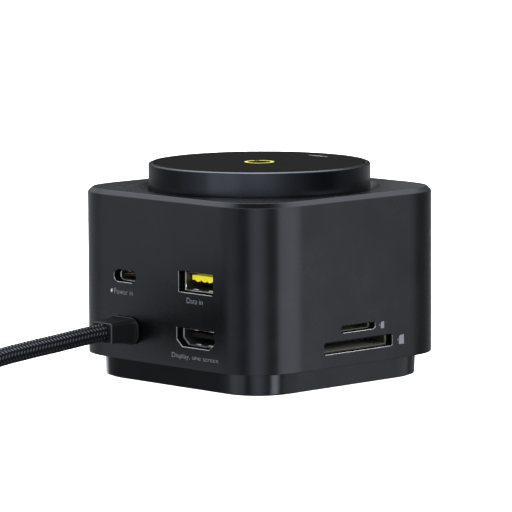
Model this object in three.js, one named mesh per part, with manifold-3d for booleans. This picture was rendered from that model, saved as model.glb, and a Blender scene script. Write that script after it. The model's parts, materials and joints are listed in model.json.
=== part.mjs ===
// Desktop docking station: a rounded-square metal block on an inset plinth, with a round magnetic
// charging head that tilts up out of a well in the deck, ports on the rear (+Y) face, memory card
// slots on the -X face and a captive host cable, whose spare length is wound into a coil.
// Units are millimetres, +Z is up, and the origin is at the middle of the resting face.
import * as THREE from 'three';
import { mergeVertices } from 'three/addons/utils/BufferGeometryUtils.js';
import Module from 'manifold-3d';

const wasm = await Module();
wasm.setup();

// ---------------------------------------------------------------- driving dimensions

const GAP = 0.2; // between parts that rest on each other
const BODY = { half: 36.5, corner: 14, wall: 2, bottom: 6.2, deck: 50.6, deckThick: 3, chamfer: 1.2 };
const CORNER_SEGMENTS = 3; // of the housing's round corners, inside and out
const WELL_SEGMENTS = 36;
const INNER = { half: BODY.half - BODY.wall, corner: BODY.corner - BODY.wall };
const REAR = BODY.half; // y of the rear face
const CARD = -BODY.half; // x of the card face
const BEHIND_WALL = INNER.half - GAP; // where the connectors' mouths start
const DECK_UNDER = BODY.deck - BODY.deckThick;

const WELL = { radius: 30.3, bevel: 1.9, floor: 46.2, floorThick: 1.5 };
const DISC = { radius: 29.6, top: 57, bottom: 48.1, wall: 1.5, rimWide: 1.45, rimDrop: 0.5, faceThick: 1 };
const WEB = { bottom: 53, top: 54 }; // the disc ring's inner floor, which carries the coil and its magnets
const HINGE = { y: -27, z: 51.6, barrel: 2.1, pin: 0.9, bore: 0.96, knuckle: 5.2, washer: 0.8, pinHalf: 8.6 };

const PLINTH = { half: 33, corner: 12.4, rim: 0.35, bottom: 1, taper: 0.25, wall: 2, flange: 2 };
const FOOT = { half: 31.6, corner: 11, thick: 0.8 };
const COLUMN = { at: 26, radius: 2.7, bottom: 8.6 }; // the four columns for the base screws, at x and y
const RIB = { reach: 8, thick: 1.6 }; // from each column to the housing's corner

const MAIN_BOARD = { bottom: 13.1, thick: 1.2 };
const UPPER_BOARD = { bottom: 24.3, thick: 1.6 };
const SPACER_AT = [[26, 17], [-26, 17], [20, -20], [-20, -20]];

const USB_C = { x: 13.55, z: 28.35, wide: 8.65, tall: 3.3, deep: 8 };
const USB_A = { x: -13.65, z: 28.9, wide: 13, tall: 5.6, deep: 13.5 };
const VIDEO = { x: -13.5, z: 14.3, wide: 14.3, tall: 5, deep: 10.5, cutX: 2.1, cutZ: 1.8 };
const SHEET = 0.32; // thickness of a connector's metal shell
const SD = { y: -0.67, z: 11.33, wide: 25.4, tall: 3.15, deep: 26 };
const MICRO = { y: -0.55, z: 15.83, wide: 12.9, tall: 1.85, deep: 14.5 };

const CORD = { x: 13.5, z: 14.1, exit: 44.4, radius: 2.4 };
const COIL = { inner: 23.2, outer: 28.1, y: 114, pitch: 4.9 };
COIL.x = CORD.x + COIL.outer;
COIL.middle = (COIL.inner + COIL.outer) / 2;
COIL.tall = 2 * COIL.pitch + 0.4;
COIL.halfWide = COIL.pitch + 0.15;
const PLUG = { chord: 23.2, angle: -20, grip: 21, gripWide: 10.6, gripTall: 6, shell: 6.6 };

// ---------------------------------------------------------------- finishes

const finish = (color, roughness, metalness) =>
  () => new THREE.MeshStandardMaterial({ color, roughness, metalness });
const anodised = finish(0x3a3b40, 0.38, 0.9);
const rimMetal = finish(0x42454d, 0.34, 0.9);
const blackPlastic = finish(0x17181a, 0.55, 0);
const mattFace = finish(0x161514, 0.6, 0);
const rubber = finish(0x0e0e0f, 0.85, 0);
const steel = finish(0xb9babd, 0.32, 1);
const darkSteel = finish(0x5f605c, 0.4, 1);
const yellowPlastic = finish(0xd8cf1c, 0.45, 0);
const boardGreen = finish(0x16402c, 0.5, 0);
const copper = finish(0xb0683a, 0.35, 1);
const ferrite = finish(0x2c2b2b, 0.7, 0.1);
const brass = finish(0xb99a54, 0.35, 1);
const braid = finish(0x141416, 0.9, 0);

// ---------------------------------------------------------------- solids

function solid(geometry) {
  const bare = geometry.index ? geometry.toNonIndexed() : geometry.clone();
  bare.deleteAttribute('normal');
  bare.deleteAttribute('uv');
  const merged = mergeVertices(bare, 1e-4);
  const index = merged.index.array;
  const triangles = [];
  for (let i = 0; i < index.length; i += 3) {
    const [a, b, c] = [index[i], index[i + 1], index[i + 2]];
    if (a !== b && b !== c && c !== a) triangles.push(a, b, c);
  }
  return new wasm.Manifold(new wasm.Mesh({
    numProp: 3,
    vertProperties: new Float32Array(merged.attributes.position.array),
    triVerts: new Uint32Array(triangles),
  }));
}

const join = (first, ...rest) => rest.reduce((sum, other) => sum.add(other), first);
const cut = (first, ...rest) => rest.reduce((left, other) => left.subtract(other), first);

function roundedRect(wide, tall, corner, x = 0, y = 0) {
  const [w, h] = [wide / 2, tall / 2];
  const r = Math.min(corner, w - 0.001, h - 0.001);
  const shape = new THREE.Shape();
  shape.absarc(x + w - r, y + h - r, r, 0, Math.PI / 2);
  shape.absarc(x - w + r, y + h - r, r, Math.PI / 2, Math.PI);
  shape.absarc(x - w + r, y - h + r, r, Math.PI, 1.5 * Math.PI);
  shape.absarc(x + w - r, y - h + r, r, 1.5 * Math.PI, 2 * Math.PI);
  return shape;
}

function polygon(points) {
  return new THREE.Shape(points.map(([x, y]) => new THREE.Vector2(x, y)));
}

function extrude(shape, depth, segments) {
  return new THREE.ExtrudeGeometry(shape, { depth, bevelEnabled: false, curveSegments: segments });
}

// A prism along Z, along Y (its outline given as x and z) or along X (its outline given as y and z).
function alongZ(shape, z0, z1, segments = 5) {
  return solid(extrude(shape, z1 - z0, segments).translate(0, 0, z0));
}

function alongY(shape, y0, y1, segments = 3) {
  return solid(extrude(shape, y1 - y0, segments).rotateX(Math.PI / 2).translate(0, y1, 0));
}

function alongX(shape, x0, x1, segments = 3) {
  const turn = new THREE.Matrix4().makeBasis(
    new THREE.Vector3(0, 1, 0), new THREE.Vector3(0, 0, 1), new THREE.Vector3(1, 0, 0));
  return solid(extrude(shape, x1 - x0, segments).applyMatrix4(turn).translate(x0, 0, 0));
}

function box(x0, x1, y0, y1, z0, z1) {
  const block = new THREE.BoxGeometry(x1 - x0, y1 - y0, z1 - z0);
  return solid(block.translate((x0 + x1) / 2, (y0 + y1) / 2, (z0 + z1) / 2));
}

function upright(radius, z0, z1, x = 0, y = 0, segments = 16) {
  const rod = new THREE.CylinderGeometry(radius, radius, z1 - z0, segments).rotateX(Math.PI / 2);
  return solid(rod.translate(x, y, (z0 + z1) / 2));
}

function crossways(radius, x0, x1, y, z, segments = 20) {
  const rod = new THREE.CylinderGeometry(radius, radius, x1 - x0, segments).rotateZ(Math.PI / 2);
  return solid(rod.translate((x0 + x1) / 2, y, z));
}

// A body of revolution about Z, from a profile of [radius, height] points that closes on itself.
function turned(profile, segments = 48) {
  const points = [...profile, profile[0]].map(([r, z]) => new THREE.Vector2(r, z));
  return solid(new THREE.LatheGeometry(points, segments).rotateX(Math.PI / 2));
}

function ring(inner, outer, z0, z1, segments = 40) {
  return turned([[inner, z0], [outer, z0], [outer, z1], [inner, z1]], segments);
}

// A prism whose plan shrinks by one scale from its top down to its bottom.
function tapered(shape, z0, z1, bottomScale, segments = 5) {
  const prism = extrude(shape, z1 - z0, segments).translate(0, 0, z0);
  const spots = prism.attributes.position;
  for (let i = 0; i < spots.count; i += 1) {
    if (spots.getZ(i) < (z0 + z1) / 2) {
      spots.setXY(i, spots.getX(i) * bottomScale, spots.getY(i) * bottomScale);
    }
  }
  return solid(prism);
}

// A frustum of a rectangle along Y, from its size at y0 to its size at y1.
function flared(y0, y1, from, to, corner, x, z) {
  const prism = extrude(roundedRect(2, 2, corner), y1 - y0, 3).rotateX(Math.PI / 2).translate(0, y1, 0);
  const spots = prism.attributes.position;
  for (let i = 0; i < spots.count; i += 1) {
    const size = spots.getY(i) > (y0 + y1) / 2 ? to : from;
    spots.setX(i, x + (spots.getX(i) * size[0]) / 2);
    spots.setZ(i, z + (spots.getZ(i) * size[1]) / 2);
  }
  return solid(prism);
}

// A pan-head screw with a hexagonal socket: its head stands on z = 0 and its shank points down.
function screwSolid({ head, headTall, shank, length }) {
  const body = join(upright(head, 0, headTall, 0, 0, 12), upright(shank, -length, 0.01, 0, 0, 6));
  return cut(body, upright(head * 0.45, headTall * 0.45, headTall + 1, 0, 0, 6));
}

function meshOf(name, shape, material) {
  const { vertProperties, triVerts } = shape.getMesh();
  const geometry = new THREE.BufferGeometry();
  geometry.setAttribute('position', new THREE.BufferAttribute(new Float32Array(vertProperties), 3));
  geometry.setIndex(new THREE.BufferAttribute(new Uint32Array(triVerts), 1));
  geometry.computeVertexNormals();
  const mesh = new THREE.Mesh(geometry, material());
  mesh.name = name;
  return mesh;
}

const group = new THREE.Group();
const add = (name, shape, material) => {
  const mesh = meshOf(name, shape, material);
  group.add(mesh);
  return mesh;
};

// ---------------------------------------------------------------- port outlines

// The video port's outline: a rectangle with its two lower corners cut off.
function videoOutline(grow) {
  const [w, h] = [VIDEO.wide / 2 + grow, VIDEO.tall / 2 + grow];
  const { x, z, cutX, cutZ } = VIDEO;
  return polygon([
    [x - w + cutX, z - h], [x + w - cutX, z - h], [x + w, z - h + cutZ],
    [x + w, z + h], [x - w, z + h], [x - w, z - h + cutZ],
  ]);
}

const usbCOutline = (grow) =>
  roundedRect(USB_C.wide + 2 * grow, USB_C.tall + 2 * grow, USB_C.tall / 2 + grow, USB_C.x, USB_C.z);
const usbAOutline = (grow) =>
  roundedRect(USB_A.wide + 2 * grow, USB_A.tall + 2 * grow, 0.35, USB_A.x, USB_A.z);
const sdOutline = (grow) => roundedRect(SD.wide + 2 * grow, SD.tall + 2 * grow, 0.6, SD.y, SD.z);
const microOutline = (grow) =>
  roundedRect(MICRO.wide + 2 * grow, MICRO.tall + 2 * grow, MICRO.tall / 2 + grow, MICRO.y, MICRO.z);

// ---------------------------------------------------------------- housing

const baseScrewHole = { radius: 1.25, top: 22 }; // in each column

// Ears under the deck that the well's tray is screwed to.
const EAR = { angle: 27, radius: 35, size: 2.4 };
const earPlaces = [EAR.angle, 180 - EAR.angle, 180 + EAR.angle, 360 - EAR.angle].map((degrees) => {
  const angle = THREE.MathUtils.degToRad(degrees);
  return [EAR.radius * Math.cos(angle), EAR.radius * Math.sin(angle)];
});
const columnPlaces = [[1, 1], [-1, 1], [-1, -1], [1, -1]].map(([x, y]) => [x * COLUMN.at, y * COLUMN.at]);

function housingShell() {
  const plan = roundedRect(2 * BODY.half, 2 * BODY.half, BODY.corner);
  const below = 5;
  const block = new THREE.ExtrudeGeometry(plan, {
    depth: BODY.deck - BODY.bottom + below - 2 * BODY.chamfer,
    bevelThickness: BODY.chamfer,
    bevelSize: BODY.chamfer,
    bevelOffset: -BODY.chamfer,
    bevelSegments: 1,
    curveSegments: CORNER_SEGMENTS,
  }).translate(0, 0, BODY.bottom - below + BODY.chamfer);
  const inside = roundedRect(2 * INNER.half, 2 * INNER.half, INNER.corner);
  let shell = cut(
    solid(block),
    box(-50, 50, -50, 50, BODY.bottom - below - 1, BODY.bottom),
    alongZ(inside, BODY.bottom - 1, DECK_UNDER, CORNER_SEGMENTS),
  );
  for (const [x, y] of columnPlaces) {
    const ribPlan = roundedRect(RIB.reach, RIB.thick, 0.1, RIB.reach / 2 - 0.4, 0);
    const rib = extrude(ribPlan, DECK_UNDER - COLUMN.bottom, 1)
      .rotateZ(Math.atan2(y, x)).translate(x, y, COLUMN.bottom);
    shell = join(shell, upright(COLUMN.radius, COLUMN.bottom, DECK_UNDER + 0.5, x, y, 12), solid(rib));
    shell = cut(shell, upright(baseScrewHole.radius, COLUMN.bottom - 1, baseScrewHole.top, x, y, 8));
  }
  const bevelTop = WELL.radius + WELL.bevel;
  const well = turned([
    [0, DECK_UNDER - 1], [WELL.radius, DECK_UNDER - 1], [WELL.radius, BODY.deck - WELL.bevel],
    [bevelTop + 1, BODY.deck + 1], [0, BODY.deck + 1],
  ], WELL_SEGMENTS);
  shell = cut(
    shell,
    well,
    alongY(usbCOutline(0), INNER.half - 1, REAR + 1, 4),
    alongY(usbAOutline(0), INNER.half - 1, REAR + 1, 1),
    alongY(videoOutline(0), INNER.half - 1, REAR + 1),
    alongY(roundedRect(8.4, 5, 1.4, CORD.x, CORD.z), INNER.half - 1, REAR + 1, 2),
    alongX(sdOutline(0), CARD - 1, -INNER.half + 1, 2),
    alongX(microOutline(0), CARD - 1, -INNER.half + 1, 4),
  );
  for (const [x, y] of earPlaces) shell = cut(shell, upright(0.9, DECK_UNDER - 1, 49.4, x, y, 8));
  return shell;
}

add('housing_shell', housingShell(), anodised);

// ---------------------------------------------------------------- well tray

const KNUCKLE_SLOT = { x: HINGE.knuckle + 0.3, y0: HINGE.y - 2, y1: HINGE.y + 2 };
const TRAY_BOSSES = [[14, 8], [-14, 8]];
const CHARGER_BOARD = { top: 40.2, thick: 1.2 };
const REST_PADS = [[0, 20], [17, -8], [-17, -8]];

function wellTray() {
  const { radius, floor, floorThick } = WELL;
  const top = DECK_UNDER - GAP;
  let tray = turned([
    [0, floor - floorThick], [radius + 2.6, floor - floorThick], [radius + 2.6, top - 1.4],
    [radius + 3.4, top - 1.4], [radius + 3.4, top], [radius, top], [radius, floor], [0, floor],
  ]);
  for (const [x, y] of earPlaces) {
    tray = join(tray, upright(EAR.size, top - 1.4, top, x, y, 12));
  }
  for (const [x, y] of REST_PADS) tray = join(tray, upright(1.6, floor - 0.2, DISC.bottom - GAP, x, y, 10));
  for (const [x, y] of TRAY_BOSSES) {
    tray = join(tray, upright(2.2, CHARGER_BOARD.top + GAP, floor - 1, x, y, 12));
    tray = cut(tray, upright(0.8, CHARGER_BOARD.top, floor - 1.2, x, y, 8));
  }
  for (const [x, y] of earPlaces) tray = cut(tray, upright(1.2, top - 2, top + 1, x, y, 8));
  const { x, y0, y1 } = KNUCKLE_SLOT;
  return cut(tray, box(-x, x, y0, y1, floor - floorThick - 1, floor + 1));
}

add('well_tray', wellTray(), blackPlastic);

const trayScrew = { head: 1.9, headTall: 1.2, shank: 0.8, length: 3.2 };
earPlaces.forEach(([x, y], i) => {
  const mesh = add(`tray_screw_${i + 1}`, screwSolid(trayScrew), steel);
  mesh.rotation.x = Math.PI;
  mesh.position.set(x, y, DECK_UNDER - GAP - 1.4 - 0.1);
});

// ---------------------------------------------------------------- tilting head

const DISC_SCREWS = [[0, 22], [19, -11], [-19, -11]];
const NOTCH = { x: 6.4, top: 54.1 }; // room in the head for the fixed knuckle
const LUG = { x0: 6.5, x1: 9.8, y0: HINGE.y - 1.6, y1: HINGE.y + 2.9, bottom: 49.7 };

function discRing() {
  const { radius, top, bottom, wall, rimWide, rimDrop, faceThick } = DISC;
  const seat = radius - rimWide; // the face drops into this radius
  let cup = turned([
    [radius - 0.4, bottom], [radius, bottom + 0.4], [radius, top - rimDrop], [seat + 0.1, top],
    [seat, top], [seat, top - faceThick - GAP], [radius - wall, top - faceThick - GAP],
    [radius - wall, WEB.top], [0, WEB.top], [0, WEB.bottom], [radius - wall, WEB.bottom],
    [radius - wall, bottom],
  ], 60);
  for (const side of [-1, 1]) {
    const [x0, x1] = [side * LUG.x0, side * LUG.x1].sort((a, b) => a - b);
    cup = join(cup, box(x0, x1, LUG.y0, LUG.y1, LUG.bottom, WEB.bottom + 0.5));
  }
  for (const [x, y] of DISC_SCREWS) {
    cup = join(cup, upright(2, LUG.bottom, WEB.bottom + 0.5, x, y, 12));
    cup = cut(cup, upright(0.8, LUG.bottom - 1, WEB.bottom - 0.6, x, y, 8));
  }
  return cut(
    cup,
    box(-NOTCH.x, NOTCH.x, -radius - 1, HINGE.y + 2.7, bottom - 1, NOTCH.top),
    crossways(HINGE.bore, -HINGE.pinHalf - 0.3, HINGE.pinHalf + 0.3, HINGE.y, HINGE.z),
  );
}

const FACE_RADIUS = DISC.radius - DISC.rimWide - 0.15;
const DISC_INSIDE = DISC.radius - DISC.wall - 0.15;

add('disc_ring', discRing(), rimMetal);
add('disc_face', upright(FACE_RADIUS, DISC.top - DISC.faceThick, DISC.top, 0, 0, 60), mattFace);
// From the web up: the ferrite sheet, and on it the coil inside the ring of magnets.
const FERRITE_TOP = WEB.top + 0.7;
add('charging_coil', ring(10, 20.6, FERRITE_TOP + GAP, FERRITE_TOP + 1), copper);
add('ferrite_sheet', upright(21.8, WEB.top + 0.1, FERRITE_TOP, 0, 0, 40), ferrite);
add('magnet_ring', ring(23.2, 27.2, WEB.top + 0.3, WEB.top + 1.6), steel);

function discBase() {
  const hingeRoom = LUG.x1 + 0.3;
  let plate = upright(DISC_INSIDE, DISC.bottom, DISC.bottom + 1.3, 0, 0, 48);
  plate = cut(plate, box(
    -hingeRoom, hingeRoom, -DISC.radius - 1, LUG.y1 + 0.3, DISC.bottom - 1, DISC.bottom + 3));
  for (const [x, y] of DISC_SCREWS) {
    plate = cut(plate, upright(1, DISC.bottom - 1, DISC.bottom + 3, x, y, 8));
    plate = cut(plate, upright(1.85, DISC.bottom - 1, DISC.bottom + 0.7, x, y, 12));
  }
  return plate;
}

add('disc_base', discBase(), blackPlastic);
const discScrew = { head: 1.5, headTall: 0.5, shank: 0.65, length: 3.6 };
DISC_SCREWS.forEach(([x, y], i) => {
  const mesh = add(`disc_screw_${i + 1}`, screwSolid(discScrew), steel);
  mesh.rotation.x = Math.PI;
  mesh.position.set(x, y, DISC.bottom + 0.6);
});

// The fixed knuckle stands in a slot of the tray and is held by a plate under the tray's floor.
function hingeKnuckle() {
  const half = HINGE.knuckle;
  const under = WELL.floor - WELL.floorThick - GAP;
  const body = join(
    crossways(HINGE.barrel, -half, half, HINGE.y, HINGE.z, 24),
    box(-half, half, HINGE.y - 1.6, HINGE.y + 1.6, under - 0.5, HINGE.z),
    box(-half - 4, half + 4, HINGE.y - 2.4, HINGE.y + 4, under - 1.4, under),
  );
  return cut(body, crossways(HINGE.bore, -half - 1, half + 1, HINGE.y, HINGE.z));
}

add('hinge_knuckle', hingeKnuckle(), darkSteel);
add('hinge_pin', crossways(HINGE.pin, -HINGE.pinHalf, HINGE.pinHalf, HINGE.y, HINGE.z), steel);
for (const [name, side] of [['friction_washer_right', 1], ['friction_washer_left', -1]]) {
  const [x0, x1] = [side * (HINGE.knuckle + GAP), side * (HINGE.knuckle + GAP + HINGE.washer)]
    .sort((a, b) => a - b);
  const washer = cut(
    crossways(1.95, x0, x1, HINGE.y, HINGE.z, 20),
    crossways(HINGE.bore, x0 - 1, x1 + 1, HINGE.y, HINGE.z),
  );
  add(name, washer, brass);
}

// ---------------------------------------------------------------- plinth, foot and weight

const standPosts = { radius: 2.6, top: MAIN_BOARD.bottom - GAP };

function basePlinth() {
  const { half, corner, rim, bottom, taper, wall, flange } = PLINTH;
  const flangeHalf = INNER.half - GAP;
  const plan = roundedRect(2 * half, 2 * half, corner);
  const outside = tapered(plan, rim, BODY.bottom + 0.01, 1 - taper / half);
  const footSeat = roundedRect(2 * (FOOT.half + GAP), 2 * (FOOT.half + GAP), FOOT.corner + GAP);
  const plate = alongZ(
    roundedRect(2 * flangeHalf, 2 * flangeHalf, INNER.corner - GAP), BODY.bottom, BODY.bottom + flange);
  const hollow = roundedRect(2 * (half - wall - 0.5), 2 * (half - wall - 0.5), corner - wall);
  let plinth = cut(join(outside, plate), alongZ(hollow, bottom + 1.8, BODY.bottom + flange + 1));
  plinth = cut(plinth, alongZ(footSeat, rim - 1, bottom));
  for (const [x, y] of columnPlaces) {
    plinth = join(plinth, upright(3.4, bottom + 1, BODY.bottom + flange, x, y, 12));
    plinth = cut(plinth, upright(1.6, bottom - 1, BODY.bottom + flange + 1, x, y, 10));
    plinth = cut(plinth, upright(2.6, bottom - 1, bottom + 2.4, x, y, 12));
  }
  for (const [x, y] of SPACER_AT) {
    plinth = join(plinth, upright(standPosts.radius, bottom + 1, standPosts.top, x, y, 12));
    plinth = cut(plinth, upright(1.4, 8, standPosts.top + 1, x, y, 10));
  }
  return plinth;
}

function ballastPlate() {
  let plate = alongZ(roundedRect(57, 57, 9), 3.1, 6.1, 3);
  for (const [x, y] of columnPlaces) plate = cut(plate, upright(4, 2, 8, x, y, 12));
  for (const [x, y] of SPACER_AT) plate = cut(plate, upright(standPosts.radius + 0.5, 2, 8, x, y, 12));
  return plate;
}

add('base_plinth', basePlinth(), anodised);
add('rubber_foot', alongZ(roundedRect(2 * FOOT.half, 2 * FOOT.half, FOOT.corner), 0, FOOT.thick), rubber);
add('ballast_plate', ballastPlate(), darkSteel);

const baseScrew = { head: 2.3, headTall: 1.8, shank: 1.1, length: 13 };
columnPlaces.forEach(([x, y], i) => {
  const mesh = add(`base_screw_${i + 1}`, screwSolid(baseScrew), steel);
  mesh.rotation.x = Math.PI;
  mesh.position.set(x, y, PLINTH.bottom + 2.3);
});

// ---------------------------------------------------------------- boards

// A board lies in the housing's rounded corners, and is cut out round the screw columns and their ribs.
function boardBlank({ bottom, thick }, x0, y0) {
  const edge = INNER.half - 0.4;
  const plan = roundedRect(2 * edge, 2 * edge, INNER.corner - 0.4);
  let board = alongZ(plan, bottom, bottom + thick, 3)
    .intersect(box(x0, 31.5, y0, edge, bottom - 1, bottom + thick + 1));
  for (const [x, y] of columnPlaces) {
    const slot = extrude(roundedRect(14, 2.4, 0.1, 6, 0), thick + 2, 1);
    board = cut(
      board,
      upright(COLUMN.radius + 0.4, bottom - 1, bottom + thick + 1, x, y),
      solid(slot.rotateZ(Math.atan2(y, x)).translate(x, y, bottom - 1)),
    );
  }
  for (const [x, y] of SPACER_AT) board = cut(board, upright(1.4, bottom - 1, bottom + thick + 1, x, y, 12));
  return board;
}

// Bays in the main board's edge for the sunk video port and for the cable's lock.
const videoBay = box(
  VIDEO.x - VIDEO.wide / 2 - 0.6, VIDEO.x + VIDEO.wide / 2 + 0.6,
  BEHIND_WALL - VIDEO.deep - 0.5, REAR, 10, 20);
const lockBay = box(CORD.x - 6, CORD.x + 6, BEHIND_WALL - 2.2, REAR, 10, 20);
const mainBlank = boardBlank(MAIN_BOARD, CARD + BODY.wall + 0.4, -31.5);
add('main_board', cut(mainBlank, videoBay, lockBay), boardGreen);
add('upper_board', boardBlank(UPPER_BOARD, -31.5, -31.5), boardGreen);

const mainTop = MAIN_BOARD.bottom + MAIN_BOARD.thick;
const upperTop = UPPER_BOARD.bottom + UPPER_BOARD.thick;
SPACER_AT.forEach(([x, y], i) => {
  const pillar = join(
    upright(2.4, mainTop + GAP, UPPER_BOARD.bottom - GAP, 0, 0, 6),
    upright(1.15, 9, mainTop + 1, 0, 0, 12),
  );
  const spacer = cut(pillar, upright(1, mainTop + 2.5, UPPER_BOARD.bottom + 1, 0, 0, 12));
  add(`board_spacer_${i + 1}`, spacer, brass).position.set(x, y, 0);
  const screw = screwSolid({ head: 2.1, headTall: 1.4, shank: 0.85, length: 6 });
  add(`board_screw_${i + 1}`, screw, steel).position.set(x, y, upperTop + 0.1);
});

const chipTop = mainTop + GAP + 1.2;
add('hub_chip', box(4, 14, -9, 1, mainTop + GAP, chipTop), blackPlastic);

function heatSpreader() {
  const [wide, finPitch, root, fins] = [18, 3.2, 1.4, 2.4];
  let sink = box(0, wide, -13, 5, chipTop + GAP, chipTop + fins);
  for (let x = finPitch / 2; x < wide - 1; x += finPitch) {
    sink = cut(sink, box(x, x + finPitch / 2, -14, 6, chipTop + root, chipTop + fins + 1));
  }
  return sink;
}

add('heat_spreader', heatSpreader(), darkSteel);
add('power_inductor', alongZ(roundedRect(7, 7, 1.5, 14, 6), upperTop + GAP, upperTop + 4, 4), ferrite);

const chargerTop = CHARGER_BOARD.top;
let chargerBoard = upright(19, chargerTop - CHARGER_BOARD.thick, chargerTop, 0, 0, 36);
for (const [x, y] of TRAY_BOSSES) {
  chargerBoard = cut(chargerBoard, upright(1, chargerTop - 3, chargerTop + 1, x, y, 8));
}
add('charger_board', chargerBoard, boardGreen);

// ---------------------------------------------------------------- ports

// A connector's metal shell: a tube along Y or X with its far end open for the contacts.
const mouth = BEHIND_WALL;
add('usb_c_shell', cut(
  alongY(usbCOutline(0.05), mouth - USB_C.deep, mouth, 4),
  alongY(usbCOutline(0.05 - SHEET), mouth - USB_C.deep - 1, mouth + 1, 4),
), steel);
add('usb_c_tongue', join(
  alongY(roundedRect(6.7, 0.7, 0.2, USB_C.x, USB_C.z), mouth - USB_C.deep + 1, mouth - 0.9, 1),
  alongY(usbCOutline(-SHEET - 0.15), mouth - USB_C.deep + 0.2, mouth - USB_C.deep + 2, 4),
), blackPlastic);

add('usb_a_shell', cut(
  alongY(usbAOutline(0.1), mouth - USB_A.deep, mouth, 1),
  alongY(usbAOutline(0.1 - SHEET), mouth - USB_A.deep - 1, mouth + 1, 1),
), steel);
add('usb_a_tongue', join(
  alongY(roundedRect(11.1, 1.9, 0.2, USB_A.x, USB_A.z + 0.95), mouth - USB_A.deep + 1, mouth - 1.2, 1),
  alongY(usbAOutline(-SHEET - 0.1), mouth - USB_A.deep + 0.2, mouth - USB_A.deep + 2.4, 1),
), yellowPlastic);

add('video_shell', cut(
  alongY(videoOutline(0.1), mouth - VIDEO.deep, mouth),
  alongY(videoOutline(0.1 - SHEET), mouth - VIDEO.deep - 1, mouth + 1),
), steel);
add('video_tongue', join(
  alongY(roundedRect(10, 1.1, 0.2, VIDEO.x, VIDEO.z + 0.35), mouth - VIDEO.deep + 1, mouth - 1, 1),
  alongY(videoOutline(-SHEET - 0.15), mouth - VIDEO.deep + 0.2, mouth - VIDEO.deep + 2),
), blackPlastic);

// Each card reader is an open-mouthed plastic tray with its contacts, closed by a sheet-metal cover.
function cardReader({ name, y, z, wide, deep, clear, coverAbove }) {
  const [x0, x1] = [-mouth, -mouth + deep];
  const side = 0.8;
  const [y0, y1] = [y - wide / 2 - side, y + wide / 2 + side];
  const [low, high] = [z - clear / 2, z + clear / 2];
  const plate = coverAbove ? [low - 0.4, low] : [high, high + 0.4];
  const cover = coverAbove ? [high + 0.1, high + 0.4] : [low - 0.4, low - 0.1];
  const base = join(
    box(x0, x1, y0, y1, ...plate),
    box(x0, x1, y0, y0 + side, low, high),
    box(x0, x1, y1 - side, y1, low, high),
    box(x1 - side, x1, y0, y1, low, high),
  );
  add(`${name}_base`, base, blackPlastic);
  add(`${name}_cover`, box(x0, x1, y0, y1, ...cover), darkSteel);
}

cardReader({ name: 'card_reader', ...SD, clear: 2.6, coverAbove: false });
cardReader({ name: 'micro_reader', ...MICRO, clear: 1.6, coverAbove: true });

// ---------------------------------------------------------------- cable

function strainRelief() {
  const { x, z, exit } = CORD;
  const outer = REAR + GAP;
  const root = flared(outer, outer + 1.6, [11.8, 7.2], [9.6, 6.3], 0.36, x, z);
  const block = flared(outer + 1.55, exit - 0.3, [9.5, 6.2], [7.3, 5.2], 0.4, x, z);
  const neck = alongY(roundedRect(8, 4.6, 1.2, x, z), mouth - 0.1, outer + 0.1, 2);
  const lock = alongY(roundedRect(11, 6.6, 1.2, x, z), mouth - 1.6, mouth, 2);
  const tail = alongY(roundedRect(4.4, 4.4, 2.2, x, z + 2.8), mouth - 9, mouth - 0.9, 3);
  return join(root, block, neck, lock, tail);
}

add('strain_relief', strainRelief(), blackPlastic);

const clampTop = CORD.z + 2.8 + 2.2;
const clampY = [mouth - 7.4, mouth - 4.4];
add('cord_clamp', join(
  box(CORD.x - 3, CORD.x + 3, ...clampY, clampTop + GAP, clampTop + 0.9),
  box(CORD.x - 3, CORD.x - 2.4, ...clampY, mainTop + GAP, clampTop + 0.9),
  box(CORD.x + 2.4, CORD.x + 3, ...clampY, mainTop + GAP, clampTop + 0.9),
), steel);

// The tube's section is a polygon with 8 sides, which follows the points of its route.
function cordTube(path, steps) {
  const section = new THREE.Shape();
  for (let i = 0; i < 8; i += 1) {
    const angle = ((i + 0.5) * Math.PI) / 4;
    const spot = [CORD.radius * Math.cos(angle), CORD.radius * Math.sin(angle)];
    if (i === 0) section.moveTo(...spot);
    else section.lineTo(...spot);
  }
  section.closePath();
  return solid(new THREE.ExtrudeGeometry(section, { steps, extrudePath: path, bevelEnabled: false }));
}

const ROUTE = [
  [44.4, 14.1], [49, 13.9], [53, 13.6], [57, 13.25], [61, 12.9], [65, 12.6], [69, 12.3],
  [73, 11.95], [77, 11.6], [81, 11.1], [85, 10.25], [89, 8.95], [93, 7.3], [96.4, 5.75],
].map(([y, z]) => [CORD.x, y, z]);
const routeCurve = new THREE.CatmullRomCurve3(ROUTE.map((spot) => new THREE.Vector3(...spot)));
add('host_cord', cordTube(routeCurve, 13), braid);

function coilSolid() {
  const { middle, halfWide, tall } = COIL;
  const [r0, r1] = [middle - halfWide, middle + halfWide];
  const edge = 1.2;
  return turned([
    [r0 + edge, 0], [r1 - edge, 0], [r1, edge], [r1, tall - edge],
    [r1 - edge, tall], [r0 + edge, tall], [r0, tall - edge], [r0, edge],
  ], 36);
}

const TIE = { angle: -105, wide: 7, thick: 0.7, inset: 0.9 };

// A loop round the bundle of turns: the tie, or with a spare the groove that it lies in.
function tieLoop(thick, spare) {
  const half = [COIL.halfWide - TIE.inset - spare, COIL.tall / 2 - TIE.inset - spare];
  const reach = TIE.wide / 2 + spare;
  const outer = roundedRect(2 * (half[0] + thick), 2 * (half[1] + thick), 0.8);
  return cut(
    alongY(outer, -reach, reach),
    alongY(roundedRect(2 * half[0], 2 * half[1], 0.5), -TIE.wide, TIE.wide),
  );
}

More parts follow.
